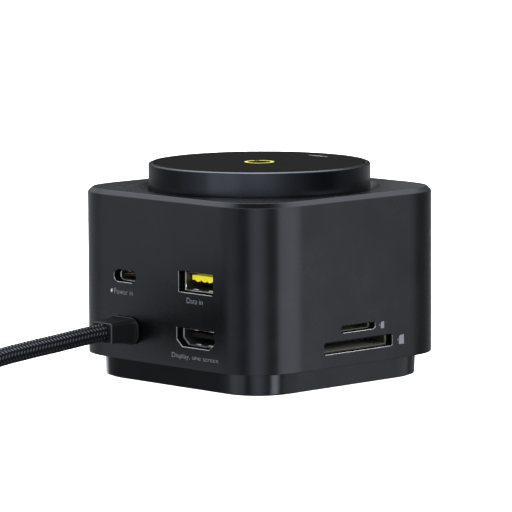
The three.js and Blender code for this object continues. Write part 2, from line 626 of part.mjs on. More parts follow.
const tieAngle = THREE.MathUtils.degToRad(TIE.angle);
const tieGroove = tieLoop(3, 0.2).translate([COIL.middle, 0, COIL.tall / 2]).rotate([0, 0, TIE.angle]);
add('cord_coil', cut(coilSolid(), tieGroove), braid).position.set(COIL.x, COIL.y, 0);
const tie = add('cord_tie', tieLoop(TIE.thick, 0), rubber);
tie.rotation.z = tieAngle;
tie.position.set(
  COIL.x + COIL.middle * Math.cos(tieAngle),
  COIL.y + COIL.middle * Math.sin(tieAngle),
  COIL.tall / 2,
);

// The plug lies on the coil, along a chord of it.
const plugLevel = COIL.tall + 0.3 + PLUG.gripTall / 2;
const plugAngle = THREE.MathUtils.degToRad(PLUG.angle);
const plugGroup = new THREE.Group();
plugGroup.position.set(COIL.x, COIL.y, plugLevel);
plugGroup.rotation.z = plugAngle;
group.add(plugGroup);
const plugLong = PLUG.grip + PLUG.shell;
const gripEnd = plugLong / 2 - PLUG.shell;
const grip = alongY(roundedRect(PLUG.gripWide, PLUG.gripTall, 2.4), -gripEnd, plugLong / 2, 4);
plugGroup.add(meshOf('plug_grip', grip.translate([PLUG.chord, 0, 0]), blackPlastic));
const plugShell = cut(
  alongY(roundedRect(8.25, 2.4, 1.2), -plugLong / 2, -gripEnd - 0.2, 4),
  alongY(roundedRect(7.6, 1.75, 0.87), -plugLong / 2 - 1, -gripEnd - 1.6, 4),
);
plugGroup.add(meshOf('plug_shell', plugShell.translate([PLUG.chord, 0, 0]), steel));

// The last stretch of cable lies on the coil and turns from its outer edge into the plug's back.
const TAIL = { angle: 47, radius: 27.7, reach: 7 };
const tailAngle = THREE.MathUtils.degToRad(TAIL.angle);
const outward = new THREE.Vector3(Math.cos(tailAngle), Math.sin(tailAngle), 0);
const onward = new THREE.Vector3(outward.y, -outward.x, 0);
const tailStart = new THREE.Vector3(COIL.x, COIL.y, plugLevel).addScaledVector(outward, TAIL.radius);
const plugTurn = new THREE.Vector3(0, 0, 1);
const plugPoint = (along) => new THREE.Vector3(PLUG.chord, plugLong / 2 + along, 0)
  .applyAxisAngle(plugTurn, plugAngle).add(plugGroup.position);
const tailCurve = new THREE.CubicBezierCurve3(
  tailStart,
  tailStart.clone().addScaledVector(onward, TAIL.reach),
  plugPoint(0.3 + TAIL.reach),
  plugPoint(0.3),
);
add('cord_tail', cordTube(tailCurve, 6), braid);

export default group;
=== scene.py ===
"""Looks for a desktop docking station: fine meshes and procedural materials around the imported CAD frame.

Lengths are millimetres in the code, and MM turns them into the frame's metres. +Y is the rear face
with the ports, -X the face with the card slots, and +Z is up.
"""

import json
import math

import bmesh
import bpy
import numpy as np
from mathutils import Matrix, Vector


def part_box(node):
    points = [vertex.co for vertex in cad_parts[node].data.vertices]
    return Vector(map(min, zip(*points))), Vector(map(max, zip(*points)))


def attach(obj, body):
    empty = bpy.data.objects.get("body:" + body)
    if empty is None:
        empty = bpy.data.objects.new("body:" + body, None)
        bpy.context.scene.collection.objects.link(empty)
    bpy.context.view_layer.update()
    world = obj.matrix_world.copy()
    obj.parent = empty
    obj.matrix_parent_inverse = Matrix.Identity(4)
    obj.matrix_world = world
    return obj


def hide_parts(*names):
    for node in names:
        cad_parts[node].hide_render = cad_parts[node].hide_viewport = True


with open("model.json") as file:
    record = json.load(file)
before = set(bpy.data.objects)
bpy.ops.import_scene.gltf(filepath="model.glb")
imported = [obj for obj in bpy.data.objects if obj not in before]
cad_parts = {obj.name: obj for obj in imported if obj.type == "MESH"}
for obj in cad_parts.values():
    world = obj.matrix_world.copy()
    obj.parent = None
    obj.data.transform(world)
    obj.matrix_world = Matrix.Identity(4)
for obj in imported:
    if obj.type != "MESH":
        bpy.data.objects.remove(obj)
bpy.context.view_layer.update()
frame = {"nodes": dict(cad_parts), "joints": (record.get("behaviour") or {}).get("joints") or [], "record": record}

MM = 0.001
BASE = "base"
HEAD = "charging_head"


def box_mm(node):
    """Lowest and highest corner of a CAD node, in millimetres."""
    low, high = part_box(node)
    return low / MM, high / MM


def middle_mm(node):
    low, high = box_mm(node)
    return (low + high) / 2


# --- camera

# The camera stands behind the corner between the rear face and the card face.
VIEW = {"azimuth": 226.0, "elevation": 6.95, "roll": -0.253, "distance": 1159.3, "lens": 305.2}
AIM = Vector((1.203, 0.221, 31.588))


def make_camera():
    azimuth, elevation, roll = (math.radians(VIEW[k]) for k in ("azimuth", "elevation", "roll"))
    level = math.cos(elevation)
    back = Vector((math.sin(azimuth) * level, -math.cos(azimuth) * level, math.sin(elevation)))
    right = Vector((0, 0, 1)).cross(back).normalized()
    upright_turn = Matrix((right, back.cross(right), back)).transposed()
    turn = (upright_turn @ Matrix.Rotation(roll, 3, "Z")).to_4x4()
    turn.translation = (AIM + back * VIEW["distance"]) * MM
    camera = bpy.data.cameras.new("camera")
    camera.lens = VIEW["lens"]
    camera.clip_start = 0.05
    camera.clip_end = 50
    holder = bpy.data.objects.new("camera", camera)
    holder.matrix_world = turn
    bpy.context.scene.collection.objects.link(holder)
    bpy.context.scene.camera = holder


make_camera()


# --- mesh helpers


def arc_steps(radius, finest=0.35):
    """How many straight steps a quarter circle of this radius gets."""
    return max(3, min(24, round(radius * math.pi / 2 / finest)))


def rounded_rect(wide, tall, corner, x=0.0, y=0.0, steps=None):
    """Outline of a rectangle with round corners, counter-clockwise."""
    corner = min(corner, wide / 2 - 1e-3, tall / 2 - 1e-3)
    steps = steps or arc_steps(corner)
    points = []
    for quarter, (sx, sy) in enumerate(((1, 1), (-1, 1), (-1, -1), (1, -1))):
        cx, cy = x + sx * (wide / 2 - corner), y + sy * (tall / 2 - corner)
        for i in range(steps + 1):
            angle = (quarter + i / steps) * math.pi / 2
            points.append((cx + corner * math.cos(angle), cy + corner * math.sin(angle)))
    return points


def rounded(profile, radii, steps=4):
    """A polyline whose inner corners are replaced by small arcs; radii has one value for each point."""
    out = []
    for i, point in enumerate(profile):
        if i in (0, len(profile) - 1) or not radii[i]:
            out.append(tuple(point))
            continue
        here = Vector(point)
        before = Vector(profile[i - 1]) - here
        after = Vector(profile[i + 1]) - here
        bend = before.angle(after)
        cut = min(radii[i] / math.tan(bend / 2), 0.49 * before.length, 0.49 * after.length)
        start = here + before.normalized() * cut
        end = here + after.normalized() * cut
        for k in range(steps + 1):
            t = k / steps
            out.append(tuple(start.lerp(here, t).lerp(here.lerp(end, t), t)))
    return out


def new_object(name, mesh, material=None):
    piece = bpy.data.objects.new(name, mesh)
    bpy.context.scene.collection.objects.link(piece)
    if material:
        mesh.materials.append(material)
    return piece


def mesh_from(name, points, faces):
    """A mesh with its faces pointing out, from points in millimetres."""
    mesh = bpy.data.meshes.new(name)
    mesh.from_pydata([Vector(p) * MM for p in points], [], faces)
    work = bmesh.new()
    work.from_mesh(mesh)
    bmesh.ops.remove_doubles(work, verts=work.verts, dist=1e-8)
    bmesh.ops.recalc_face_normals(work, faces=work.faces)
    work.to_mesh(mesh)
    work.free()
    return mesh


def loft(name, rings, closed=False):
    """A skin over rings that all have the same number of points, capped unless it closes on itself."""
    count = len(rings[0])
    faces = []
    for i in range(len(rings) if closed else len(rings) - 1):
        a, b = i * count, (i + 1) % len(rings) * count
        faces += [(a + k, a + (k + 1) % count, b + (k + 1) % count, b + k) for k in range(count)]
    if not closed:
        faces += [tuple(range(count)), tuple(range((len(rings) - 1) * count, len(rings) * count))]
    return mesh_from(name, [p for ring in rings for p in ring], faces)


def turned(name, profile, segments=144, closed=False):
    """A body of revolution about Z from points of (radius, height); closed joins its ends."""
    angles = [2 * math.pi * k / segments for k in range(segments)]
    rings = [[(radius * math.cos(a), radius * math.sin(a), height) for a in angles] for radius, height in profile]
    return loft(name, rings, closed)


# Where an outline's (u, v) at a depth behind a face goes in the frame.
def on_rear(u, v, depth):
    return (u, REAR - depth, v)


def on_card(u, v, depth):
    return (CARD + depth, u, v)


def upright(u, v, depth):
    return (u, v, depth)


def prism(name, place, sections, closed=False):
    """A loft of (outline, depth) sections, placed by one of the functions above."""
    return loft(name, [[place(u, v, depth) for u, v in outline] for outline, depth in sections], closed)


def tube(name, place, outer, inner, depth0, depth1, lip=0.05, flare=0.16):
    """A straight tube between two outlines of equal counts, with its mouth flared inside."""
    return prism(name, place, [
        (inner(-flare), depth0), (outer(-lip), depth0), (outer(0), depth0 + lip), (outer(0), depth1),
        (inner(0), depth1), (inner(0), depth0 + 2.5 * flare)], closed=True)


def block_mesh(name, low, high, edge=0.1, steps=2):
    """A box with rounded edges, along Z."""
    wide, deep = high[0] - low[0], high[1] - low[1]
    x, y = (low[0] + high[0]) / 2, (low[1] + high[1]) / 2
    edge = min(edge, wide / 2.1, deep / 2.1, (high[2] - low[2]) / 2.1)
    sections = []
    for i in range(steps + 1):
        a = i / steps * math.pi / 2
        sections.append((edge * (1 - math.sin(a)), low[2] + edge * (1 - math.cos(a))))
    sections += [(inset, low[2] + high[2] - z) for inset, z in reversed(sections)]
    rings = [
        [(u, v, z) for u, v in rounded_rect(wide - 2 * inset, deep - 2 * inset, edge, x, y, steps)]
        for inset, z in sections
    ]
    return loft(name, rings)


def apply_modifiers(piece):
    graph = bpy.context.evaluated_depsgraph_get()
    mesh = bpy.data.meshes.new_from_object(piece.evaluated_get(graph))
    piece.modifiers.clear()
    piece.data = mesh


def combine(piece, meshes, operation):
    """Cuts the meshes out of piece, or joins them to it, and drops them."""
    others = [new_object("tool", mesh) for mesh in meshes]
    for other in others:
        step = piece.modifiers.new("step", "BOOLEAN")
        step.operation = operation
        step.solver = "EXACT"
        step.object = other
    apply_modifiers(piece)
    for other in others:
        bpy.data.objects.remove(other)
    return piece


def carve(piece, *meshes):
    return combine(piece, meshes, "DIFFERENCE")


def weld(piece, *meshes):
    return combine(piece, meshes, "UNION")


CREASE = math.radians(32)  # where faces meet at more than this, the edge stays sharp


def shade(piece):
    """Smooth shading with creases."""
    work = bmesh.new()
    work.from_mesh(piece.data)
    bmesh.ops.remove_doubles(work, verts=work.verts, dist=2e-7)
    bmesh.ops.dissolve_degenerate(work, edges=work.edges, dist=1e-8)
    bmesh.ops.triangulate(work, faces=[face for face in work.faces if len(face.verts) > 4])
    for face in work.faces:
        face.smooth = True
    for edge in work.edges:
        edge.smooth = len(edge.link_faces) == 2 and edge.calc_face_angle(0) < CREASE
    work.to_mesh(piece.data)
    work.free()
    piece.modifiers.new("normals", "WEIGHTED_NORMAL").keep_sharp = True


def finish_piece(piece, body, slot, material, *replaced):
    """Shades a finished mesh, gives it its material, and ties it to the frame."""
    piece.data.materials.clear()
    piece.data.materials.append(material)
    shade(piece)
    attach(piece, body)
    if replaced:
        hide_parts(*replaced)
    return piece


def make_piece(name, mesh, body, slot, material, *replaced):
    return finish_piece(new_object(name, mesh), body, slot, material, *replaced)


# --- materials


def opaque(color):
    return (*color, 1) if isinstance(color, tuple) else color


class Graph:
    """Short forms for building the nodes of a new material, or of the world that is given."""

    def __init__(self, name, world=None):
        self.material = world or bpy.data.materials.new(name)
        self.material.use_nodes = True
        self.tree = self.material.node_tree
        self.shader = self.tree.nodes.get("Principled BSDF")

    def node(self, kind, inputs=None, **settings):
        made = self.tree.nodes.new(kind)
        for key, value in settings.items():
            setattr(made, key, value)
        for key, value in (inputs or {}).items():
            self.feed(made.inputs[key], value)
        return made

    def feed(self, socket, value):
        if isinstance(value, bpy.types.NodeSocket):
            self.tree.links.new(value, socket)
        else:
            socket.default_value = value

    def math(self, operation, *values):
        return self.node("ShaderNodeMath", dict(enumerate(values)), operation=operation).outputs[0]

    def noise(self, where, scale, detail=3.0, roughness=0.6):
        return self.node("ShaderNodeTexNoise", {
            "Vector": where, "Scale": scale, "Detail": detail, "Roughness": roughness}).outputs["Fac"]

    def span(self, value, low, high, start=0.3, end=0.7):
        return self.node("ShaderNodeMapRange", {
            "Value": value, "From Min": start, "From Max": end, "To Min": low, "To Max": high}).outputs["Result"]

    def mix(self, factor, a, b):
        return self.node("ShaderNodeMix", {0: factor, 6: opaque(a), 7: opaque(b)}, data_type="RGBA").outputs[2]

    def place(self, stretch=(1, 1, 1)):
        """The piece's own coordinates in metres, stretched."""
        spot = self.node("ShaderNodeTexCoord").outputs["Object"]
        return self.node("ShaderNodeMapping", {"Vector": spot, "Scale": stretch}).outputs["Vector"]

    def bump(self, height, depth, strength=1.0):
        """A raised pattern; depth is in millimetres."""
        return self.node("ShaderNodeBump", {
            "Height": height, "Distance": depth * MM, "Strength": strength}).outputs["Normal"]

    def done(self, color, roughness, normal=None, **sockets):
        for key, value in (("Base Color", color), ("Roughness", roughness), ("Normal", normal)):
            if value is not None:
                self.feed(self.shader.inputs[key], value)
        for key, value in sockets.items():
            self.shader.inputs[key.replace("_", " ")].default_value = value
        return self.material


def tones(g, color, mixed, dark, light):
    """The color, darker and lighter as a mix of two patterns runs; mixed is (pattern, share, pattern, share)."""
    first, share, second, rest = mixed
    tone = g.math("ADD", g.math("MULTIPLY", first, share), g.math("MULTIPLY", second, rest))
    return tone, g.mix(g.span(tone, 0, 1), *(tuple(min(1.0, c * by) for c in color) for by in (dark, light)))


def metal(name, color, roughness, grain=0.12, depth=0.004):
    """Blasted and anodised metal: fine grain, a faint cloudiness, and a little variation of gloss."""
    g = Graph(name)
    where = g.place()
    speck = g.noise(where, 1 / (grain * MM), 2)
    tone, tint = tones(g, color, (g.noise(where, 90, 4), 0.6, speck, 0.4), 0.88, 1.12)
    return g.done(tint, g.span(tone, roughness - 0.03, roughness + 0.04), g.bump(speck, depth, 0.6), Metallic=1.0)


def brushed(name, color, roughness, along=(0.06, 1, 1), depth=0.003):
    """Drawn sheet metal: streaks in one direction, with a few darker stains."""
    g = Graph(name)
    streak = g.noise(g.place(along), 9000, 3)
    tint = tones(g, color, (streak, 0.7, g.noise(g.place(), 350, 4), 0.3), 0.75, 1.1)[1]
    return g.done(tint, g.span(streak, roughness - 0.06, roughness + 0.1), g.bump(streak, depth, 0.5), Metallic=1.0)


def moulded(name, color, roughness, grain=0.25, depth=0.01, vary=0.15, **sockets):
    """Moulded plastic or rubber with a fine spark-eroded texture."""
    g = Graph(name)
    where = g.place()
    grit = g.noise(where, 1 / (grain * MM), 3, 0.7)
    tint = tones(g, color, (grit, 0.5, g.noise(where, 150, 3), 0.5), 1 - vary, 1 + vary)[1]
    return g.done(tint, g.span(grit, roughness - 0.05, roughness + 0.08), g.bump(grit, depth, 0.5), **sockets)


def circuit_board():
    """Solder mask with tracks under it, seen as slightly lighter lines on a square grid."""
    g = Graph("board_mask")
    where = g.place()
    cell = g.node("ShaderNodeTexVoronoi", {"Vector": where, "Scale": 700.0, "Randomness": 0.25},
                  distance="CHEBYCHEV")
    track = g.span(cell.outputs["Distance"], 1, 0, 0.38, 0.46)
    grit = g.noise(where, 2500, 3)
    tint = g.mix(track, (0.012, 0.05, 0.03), (0.03, 0.11, 0.06))
    height = g.math("ADD", g.math("MULTIPLY", track, 0.8), g.math("MULTIPLY", grit, 0.2))
    return g.done(tint, g.span(grit, 0.3, 0.45), g.bump(height, 0.03, 0.6), Coat_Weight=0.4)


def wound_copper():
    """Enamelled wire, wound in rings about the head's axis."""
    g = Graph("wound_copper")
    where = g.place()
    ring = g.node("ShaderNodeTexWave", {"Vector": where, "Scale": 500.0, "Distortion": 0.3},
                  wave_type="RINGS", rings_direction="Z").outputs["Fac"]
    tint = g.mix(ring, (0.25, 0.09, 0.03), (0.72, 0.32, 0.14))
    gloss = g.span(g.noise(where, 2000), 0.28, 0.42)
    return g.done(tint, gloss, g.bump(ring, 0.12, 0.8), Metallic=0.9)


BRAID_AROUND = 22.0  # strands side by side round the cable
BRAID_PITCH = 0.95  # cells in one millimetre of its length


def braided():
    """A plaited sleeve: strands in two directions, each passing over two and under two of the others."""
    g = Graph("braid")
    split = g.node("ShaderNodeSeparateXYZ", {"Vector": g.node("ShaderNodeUVMap", uv_map="along").outputs[0]})
    along, around = split.outputs[0], split.outputs[1]
    step = g.math("MULTIPLY", along, BRAID_PITCH)
    turn = g.math("MULTIPLY", around, BRAID_AROUND / 2)
    a, b = g.math("ADD", step, turn), g.math("SUBTRACT", step, turn)
    ia, ib = g.math("FLOOR", a), g.math("FLOOR", b)
    fa, fb = g.math("SUBTRACT", a, ia), g.math("SUBTRACT", b, ib)
    phase = g.math("FLOORED_MODULO", g.math("SUBTRACT", ia, ib), 4.0)
    a_over = g.math("LESS_THAN", phase, 1.5)
    odd = g.math("FLOORED_MODULO", phase, 2.0)

    def choose(first, second):
        kept = g.math("MULTIPLY", first, a_over)
        return g.math("MULTIPLY_ADD", second, g.math("SUBTRACT", 1.0, a_over), kept)

    # The position across the strand on top, and along its two-cell float.
    across = choose(fa, fb)
    a_run = g.math("MULTIPLY", g.math("ADD", g.math("SUBTRACT", 1.0, fb), odd), 0.5)
    b_run = g.math("MULTIPLY", g.math("ADD", fa, odd), 0.5)
    run = choose(a_run, b_run)
    hump = g.math("SINE", g.math("MULTIPLY", run, math.pi))
    round_top = g.math("SINE", g.math("MULTIPLY", across, math.pi))
    height = g.math("MULTIPLY", g.math("POWER", round_top, 0.6), g.math("MULTIPLY_ADD", hump, 0.6, 0.4))
    fibre = g.noise(g.place(), 9000, 2)
    # Painted highlight: bright specks on the tops of the strands, where they would glint.
    painted_glint = g.math("POWER", g.math("MULTIPLY", g.span(height, 0, 1, 0.45, 0.97), g.span(fibre, 0.65, 1.0)), 3.4)
    # Painted highlight: the glints are brighter on the cable's upper half, where the light falls.
    facing = g.node("ShaderNodeNewGeometry").outputs["Normal"]
    upward = g.node("ShaderNodeSeparateXYZ", {"Vector": facing}).outputs[2]
    painted_top_light = g.span(upward, 0.22, 1.0, -0.3, 0.6)
    # Painted shade: each strand is darker where it sinks low between the others.
    tint = g.mix(g.span(height, 0, 1, 0.3, 0.85), (0.0006, 0.0006, 0.001), (0.005, 0.0052, 0.008))
    # The painted highlight is laid over the strands in a pale blue-grey.
    tint = g.mix(g.math("MULTIPLY", painted_glint, painted_top_light), tint, (0.34, 0.35, 0.43))
    relief = g.bump(g.math("MULTIPLY_ADD", fibre, 0.1, height), 0.3)
    return g.done(tint, g.span(height, 0.8, 0.5), relief, Specular_IOR_Level=0.2)


ANODISED = metal("anodised_graphite", (0.036, 0.037, 0.042), 0.25)
PLINTH_METAL = metal("anodised_plinth", (0.033, 0.034, 0.038), 0.2)
RIM = metal("anodised_rim", (0.036, 0.040, 0.047), 0.25, grain=0.1, depth=0.003)
FACE = moulded("soft_touch_face", (0.010, 0.0095, 0.009), 0.5, grain=0.18, depth=0.004,
               Specular_IOR_Level=0.0, Coat_Weight=0.09, Coat_Roughness=0.45)
PLASTIC = moulded("black_plastic", (0.010, 0.010, 0.0115), 0.40, grain=0.2, depth=0.006)
RELIEF = moulded("relief_plastic", (0.008, 0.0082, 0.0095), 0.34, depth=0.006, Specular_IOR_Level=0.22)
RUBBER = moulded("foot_rubber", (0.008, 0.008, 0.009), 0.75, grain=0.3, depth=0.02)
YELLOW = moulded("yellow_plastic", (0.80, 0.74, 0.012), 0.38, grain=0.15, depth=0.006, vary=0.06)
STEEL = brushed("connector_steel", (0.42, 0.42, 0.43), 0.26)
DARK_STEEL = brushed("dark_steel", (0.20, 0.205, 0.17), 0.38)
IRON = brushed("heavy_iron", (0.10, 0.10, 0.105), 0.5, along=(1, 1, 1))
HEAT_SINK = brushed("heat_sink", (0.5, 0.5, 0.52), 0.42, along=(1, 0.06, 1))
SCREW = metal("screw_steel", (0.35, 0.35, 0.36), 0.3)
BRASS = brushed("brass", (0.62, 0.44, 0.17), 0.3)
BOARD = circuit_board()
COPPER = wound_copper()
FERRITE = moulded("ferrite", (0.03, 0.029, 0.028), 0.6, grain=0.2, depth=0.012)
BRAID = braided()
INK = moulded("printed_ink", (0.35, 0.36, 0.385), 0.55, grain=0.1, depth=0.002, vary=0.08)
# Painted shade: the same ink as INK, a little darker, for the print on the card face.
INK_CARD_SHADE = moulded("printed_ink_card_shade", (0.33, 0.335, 0.37), 0.55, grain=0.1, depth=0.002, vary=0.08)
MARK_YELLOW = moulded("mark_yellow", (0.88, 0.86, 0.03), 0.5, grain=0.1, depth=0.002, vary=0.05)
SHELL_STEEL = brushed("port_steel", (0.72, 0.72, 0.72), 0.3)
# Painted shade: near-black, not metallic, for the steel tube deep inside a port.
PORT_TUBE_SHADE = moulded("port_tube_painted_shade", (0.03, 0.03, 0.031), 0.4, grain=0.2, depth=0.003)
TINNED = moulded("tinned_floor", (0.16, 0.16, 0.135), 0.45, grain=0.3, depth=0.006)
BARE_EDGE = metal("bare_edge", (0.52, 0.525, 0.54), 0.25, grain=0.08, depth=0.001)
# Painted shade: near-black for the sleeve just inside each hole, where the walls lie in shade.
THROAT_SHADE = moulded("throat_painted_shade", (0.002, 0.002, 0.0025), 0.8, grain=0.2, depth=0.004, Specular_IOR_Level=0.05)
# Painted highlight: a lighter copy of the relief plastic for the thin rim round the cable's end.
RELIEF_RIM_HIGHLIGHT = moulded("relief_painted_highlight", (0.05, 0.051, 0.056), 0.4, grain=0.2, depth=0.003)
BOLT_WHITE = moulded("bolt_white", (0.78, 0.78, 0.80), 0.55, grain=0.1, depth=0.002, vary=0.05)
READER_STEEL = brushed("reader_steel", (0.30, 0.305, 0.26), 0.34)
CONTACT = brushed("contact_gold", (0.7, 0.52, 0.22), 0.25)

SLOT_MATERIALS = {
    "housing": ANODISED, "plinth": PLINTH_METAL, "disc_metal": RIM, "disc_face": FACE,
    "black_plastic": PLASTIC, "strain_relief": RELIEF, "yellow_plastic": YELLOW, "rubber": RUBBER,
    "tie": RUBBER, "braid": BRAID, "connector_steel": STEEL, "dark_steel": DARK_STEEL,
    "heavy_iron": IRON, "heat_sink": HEAT_SINK, "screw_steel": SCREW, "brass": BRASS,
    "board": BOARD, "copper": COPPER, "ferrite": FERRITE,
}


def dress_frame():
    """Every CAD node takes the material of its slot in the record."""
    for entry in frame["record"]["materials"]:
        for name in entry.get("nodes", []):
            node = frame["nodes"].get(name)
            if node is not None:
                node.data.materials.clear()
                node.data.materials.append(SLOT_MATERIALS[entry["slot"]])


dress_frame()

# --- cable

CORD_RADIUS = 2.4
CORD_X = 13.5
CORD_ROUTE = [
    (44.4, 14.1), (49, 13.9), (53, 13.6), (57, 13.25), (61, 12.9), (65, 12.6), (69, 12.3),
    (73, 11.95), (77, 11.6), (81, 11.1), (85, 10.25), (89, 8.95), (93, 7.3), (96.4, 5.75),
    (99.5, 4.55), (102, 3.75), (108, 2.75), (114, 2.5),
]
COIL_LOW, COIL_HIGH = box_mm("cord_coil")
COIL_X, COIL_Y = (COIL_LOW.x + COIL_HIGH.x) / 2, (COIL_LOW.y + COIL_HIGH.y) / 2
COIL_OUTER, COIL_PITCH = 28.1, 4.9
PLUG = {"chord": 23.2, "angle": -20, "grip": 21, "grip_wide": 10.6, "grip_tall": 6, "shell": 6.6}
PLUG_LEVEL = middle_mm("plug_grip").z
TAIL = {"angle": 47, "radius": 27.7, "reach": 7}
COIL_TURNS = 4 + (180 - TAIL["angle"]) / 360


def smooth(low, high, t):
    """0 before low, 1 after high, and an even blend between."""
    s = max(0.0, min(1.0, (t - low) / (high - low)))
    return s * s * (3 - 2 * s)


def coil_point(t):
    """The cable's middle after t turns: two rings side by side, two more on top, then the tail's start."""
    angle = math.pi - 2 * math.pi * t
    radius = COIL_OUTER - COIL_PITCH * smooth(0.75, 0.97, t) + COIL_PITCH * smooth(2.62, 2.84, t)
    radius -= (COIL_OUTER - TAIL["radius"]) * smooth(4, COIL_TURNS, t)
    rise = COIL_PITCH * smooth(1.45, 1.68, t) + (PLUG_LEVEL - 2.5 - COIL_PITCH) * smooth(3.95, COIL_TURNS, t)
    return Vector((COIL_X + radius * math.cos(angle), COIL_Y + radius * math.sin(angle), 2.5 + rise))


def plug_place(across, along, up=0.0):
    """A point of the plug, which lies along a chord of the coil, in the frame's millimetres."""
    turn = math.radians(PLUG["angle"])
    x = across * math.cos(turn) - along * math.sin(turn)
    y = across * math.sin(turn) + along * math.cos(turn)
    return Vector((COIL_X + x, COIL_Y + y, PLUG_LEVEL + up))


def cord_path():
    """The cable's middle line from the strain relief to the plug's back."""
    points = [Vector((CORD_X, y, z)) for y, z in CORD_ROUTE]
    turn_steps = 48
    count = round(COIL_TURNS * turn_steps)
    points += [coil_point(COIL_TURNS * i / count) for i in range(1, count + 1)]
    outward = math.radians(TAIL["angle"])
    start = points[-1]
    near_start = start + Vector((math.sin(outward), -math.cos(outward), 0)) * TAIL["reach"]
    back = (PLUG["grip"] + PLUG["shell"]) / 2 + 0.3
    end, near_end = (plug_place(PLUG["chord"], back + reach) for reach in (0, TAIL["reach"]))
    tail_steps = 10
    for i in range(1, tail_steps + 1):
        t = i / tail_steps
        points.append(
            start * (1 - t) ** 3 + near_start * 3 * t * (1 - t) ** 2
            + near_end * 3 * t * t * (1 - t) + end * t ** 3)
    return points


def catmull_rom(points, spacing):
    """A smooth line through the points, with a point about every spacing millimetres."""
    line = [points[0] * 2 - points[1], *points, points[-1] * 2 - points[-2]]
    out = []
    for i in range(1, len(line) - 2):
        p0, p1, p2, p3 = line[i - 1:i + 3]
        steps = max(1, round((p2 - p1).length / spacing))
        for k in range(steps):
            t = k / steps
            out.append(0.5 * (
                p1 * 2 + (p2 - p0) * t + (p0 * 2 - p1 * 5 + p2 * 4 - p3) * t * t
                + (p1 * 3 - p0 - p2 * 3 + p3) * t ** 3))
    out.append(points[-1].copy())
    return out


def sweep(name, line, radius, sides=32):
    """A tube along the line with closed ends, and a map of millimetres along by turns around."""
    work = bmesh.new()
    layer = work.loops.layers.uv.new("along")
    up = Vector((0, 0, 1))
    rings, reach = [], [0.0]
    for i, point in enumerate(line):
        if i:
            reach.append(reach[-1] + (point - line[i - 1]).length)
        tangent = (line[min(i + 1, len(line) - 1)] - line[max(i - 1, 0)]).normalized()
        side = tangent.cross(up).normalized()
        lift = side.cross(tangent)
        ring = []
        for k in range(sides):
            angle = 2 * math.pi * k / sides
            ring.append(work.verts.new((point + (side * math.cos(angle) + lift * math.sin(angle)) * radius) * MM))
        rings.append(ring)
    for i in range(len(rings) - 1):
        for k in range(sides):
            n = (k + 1) % sides
            face = work.faces.new((rings[i][k], rings[i][n], rings[i + 1][n], rings[i + 1][k]))
            face.smooth = True
            for loop, u, v in zip(face.loops, (i, i, i + 1, i + 1), (k, k + 1, k + 1, k)):
                loop[layer].uv = (reach[u], v / sides)
    for ring, at in ((rings[0], 0.0), (rings[-1], reach[-1])):
        face = work.faces.new(ring)
        for loop in face.loops:
            loop[layer].uv = (at, 0.25)
    bmesh.ops.recalc_face_normals(work, faces=work.faces)
    mesh = bpy.data.meshes.new(name)
    work.to_mesh(mesh)
    work.free()
    return mesh


def make_cord():
    line = catmull_rom(cord_path(), 1.0)
    cable = new_object("host_cable", sweep("host_cable", line, CORD_RADIUS), BRAID)
    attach(cable, BASE)
    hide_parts("host_cord", "cord_coil", "cord_tail")


# --- housing

HOUSING_LOW, HOUSING_HIGH = box_mm("housing_shell")
REAR = HOUSING_HIGH.y
CARD = HOUSING_LOW.x
HALF = HOUSING_HIGH.x
DECK = HOUSING_HIGH.z
SKIRT = HOUSING_LOW.z
CORNER, WALL, DECK_THICK, CHAMFER = 14, 2, 3, 1.2
WELL = {"radius": 30.3, "bevel": 1.9}
PORT_CHAMFER = 0.16

USB_C = {"u": 13.55, "v": 28.35, "wide": 8.65, "tall": 3.3}
USB_A = {"u": -13.65, "v": 28.9, "wide": 13, "tall": 5.6}
VIDEO = {"u": -13.5, "v": 14.3, "wide": 14.3, "tall": 5, "cut_u": 2.1, "cut_v": 1.8}
SD = {"u": -0.67, "v": 11.33, "wide": 25.4, "tall": 3.15}
MICRO = {"u": -0.55, "v": 15.83, "wide": 12.9, "tall": 1.85}
PAINT = 0.02  # the skin lies this far inside the CAD box, so that print on it has room
MOUTH = WALL + 0.2  # how far behind the face the connectors start


def oblong(port, corner, steps=8):
    """A function that gives a port's outline, grown by a distance."""
    def outline(grow=0.0):
        return rounded_rect(
            port["wide"] + 2 * grow, port["tall"] + 2 * grow, corner + grow, port["u"], port["v"], steps)
    return outline


def video_outline(grow=0.0):
    """A rectangle with its two lower corners cut off."""
    w, h = VIDEO["wide"] / 2 + grow, VIDEO["tall"] / 2 + grow
    u, v, cu, cv = VIDEO["u"], VIDEO["v"], VIDEO["cut_u"], VIDEO["cut_v"]
    return [
        (u - w + cu, v - h), (u + w - cu, v - h), (u + w, v - h + cv), (u + w, v + h),
        (u - w, v + h), (u - w, v - h + cv),
    ]


usb_c_outline = oblong(USB_C, USB_C["tall"] / 2)
usb_a_outline = oblong(USB_A, 0.35, 3)
sd_outline = oblong(SD, 0.6, 4)
micro_outline = oblong(MICRO, MICRO["tall"] / 2)


def port_cutter(place, outline):
    """A hole through the wall, with its outer edge broken."""
    return prism("hole", place, [
        (outline(PORT_CHAMFER + 0.5), -0.5), (outline(PORT_CHAMFER), 0), (outline(0), PORT_CHAMFER),
        (outline(0), WALL + 0.6),
    ])


EASE = 0.5  # how gradually the flat sides turn into the corners: 0 gives plain arcs


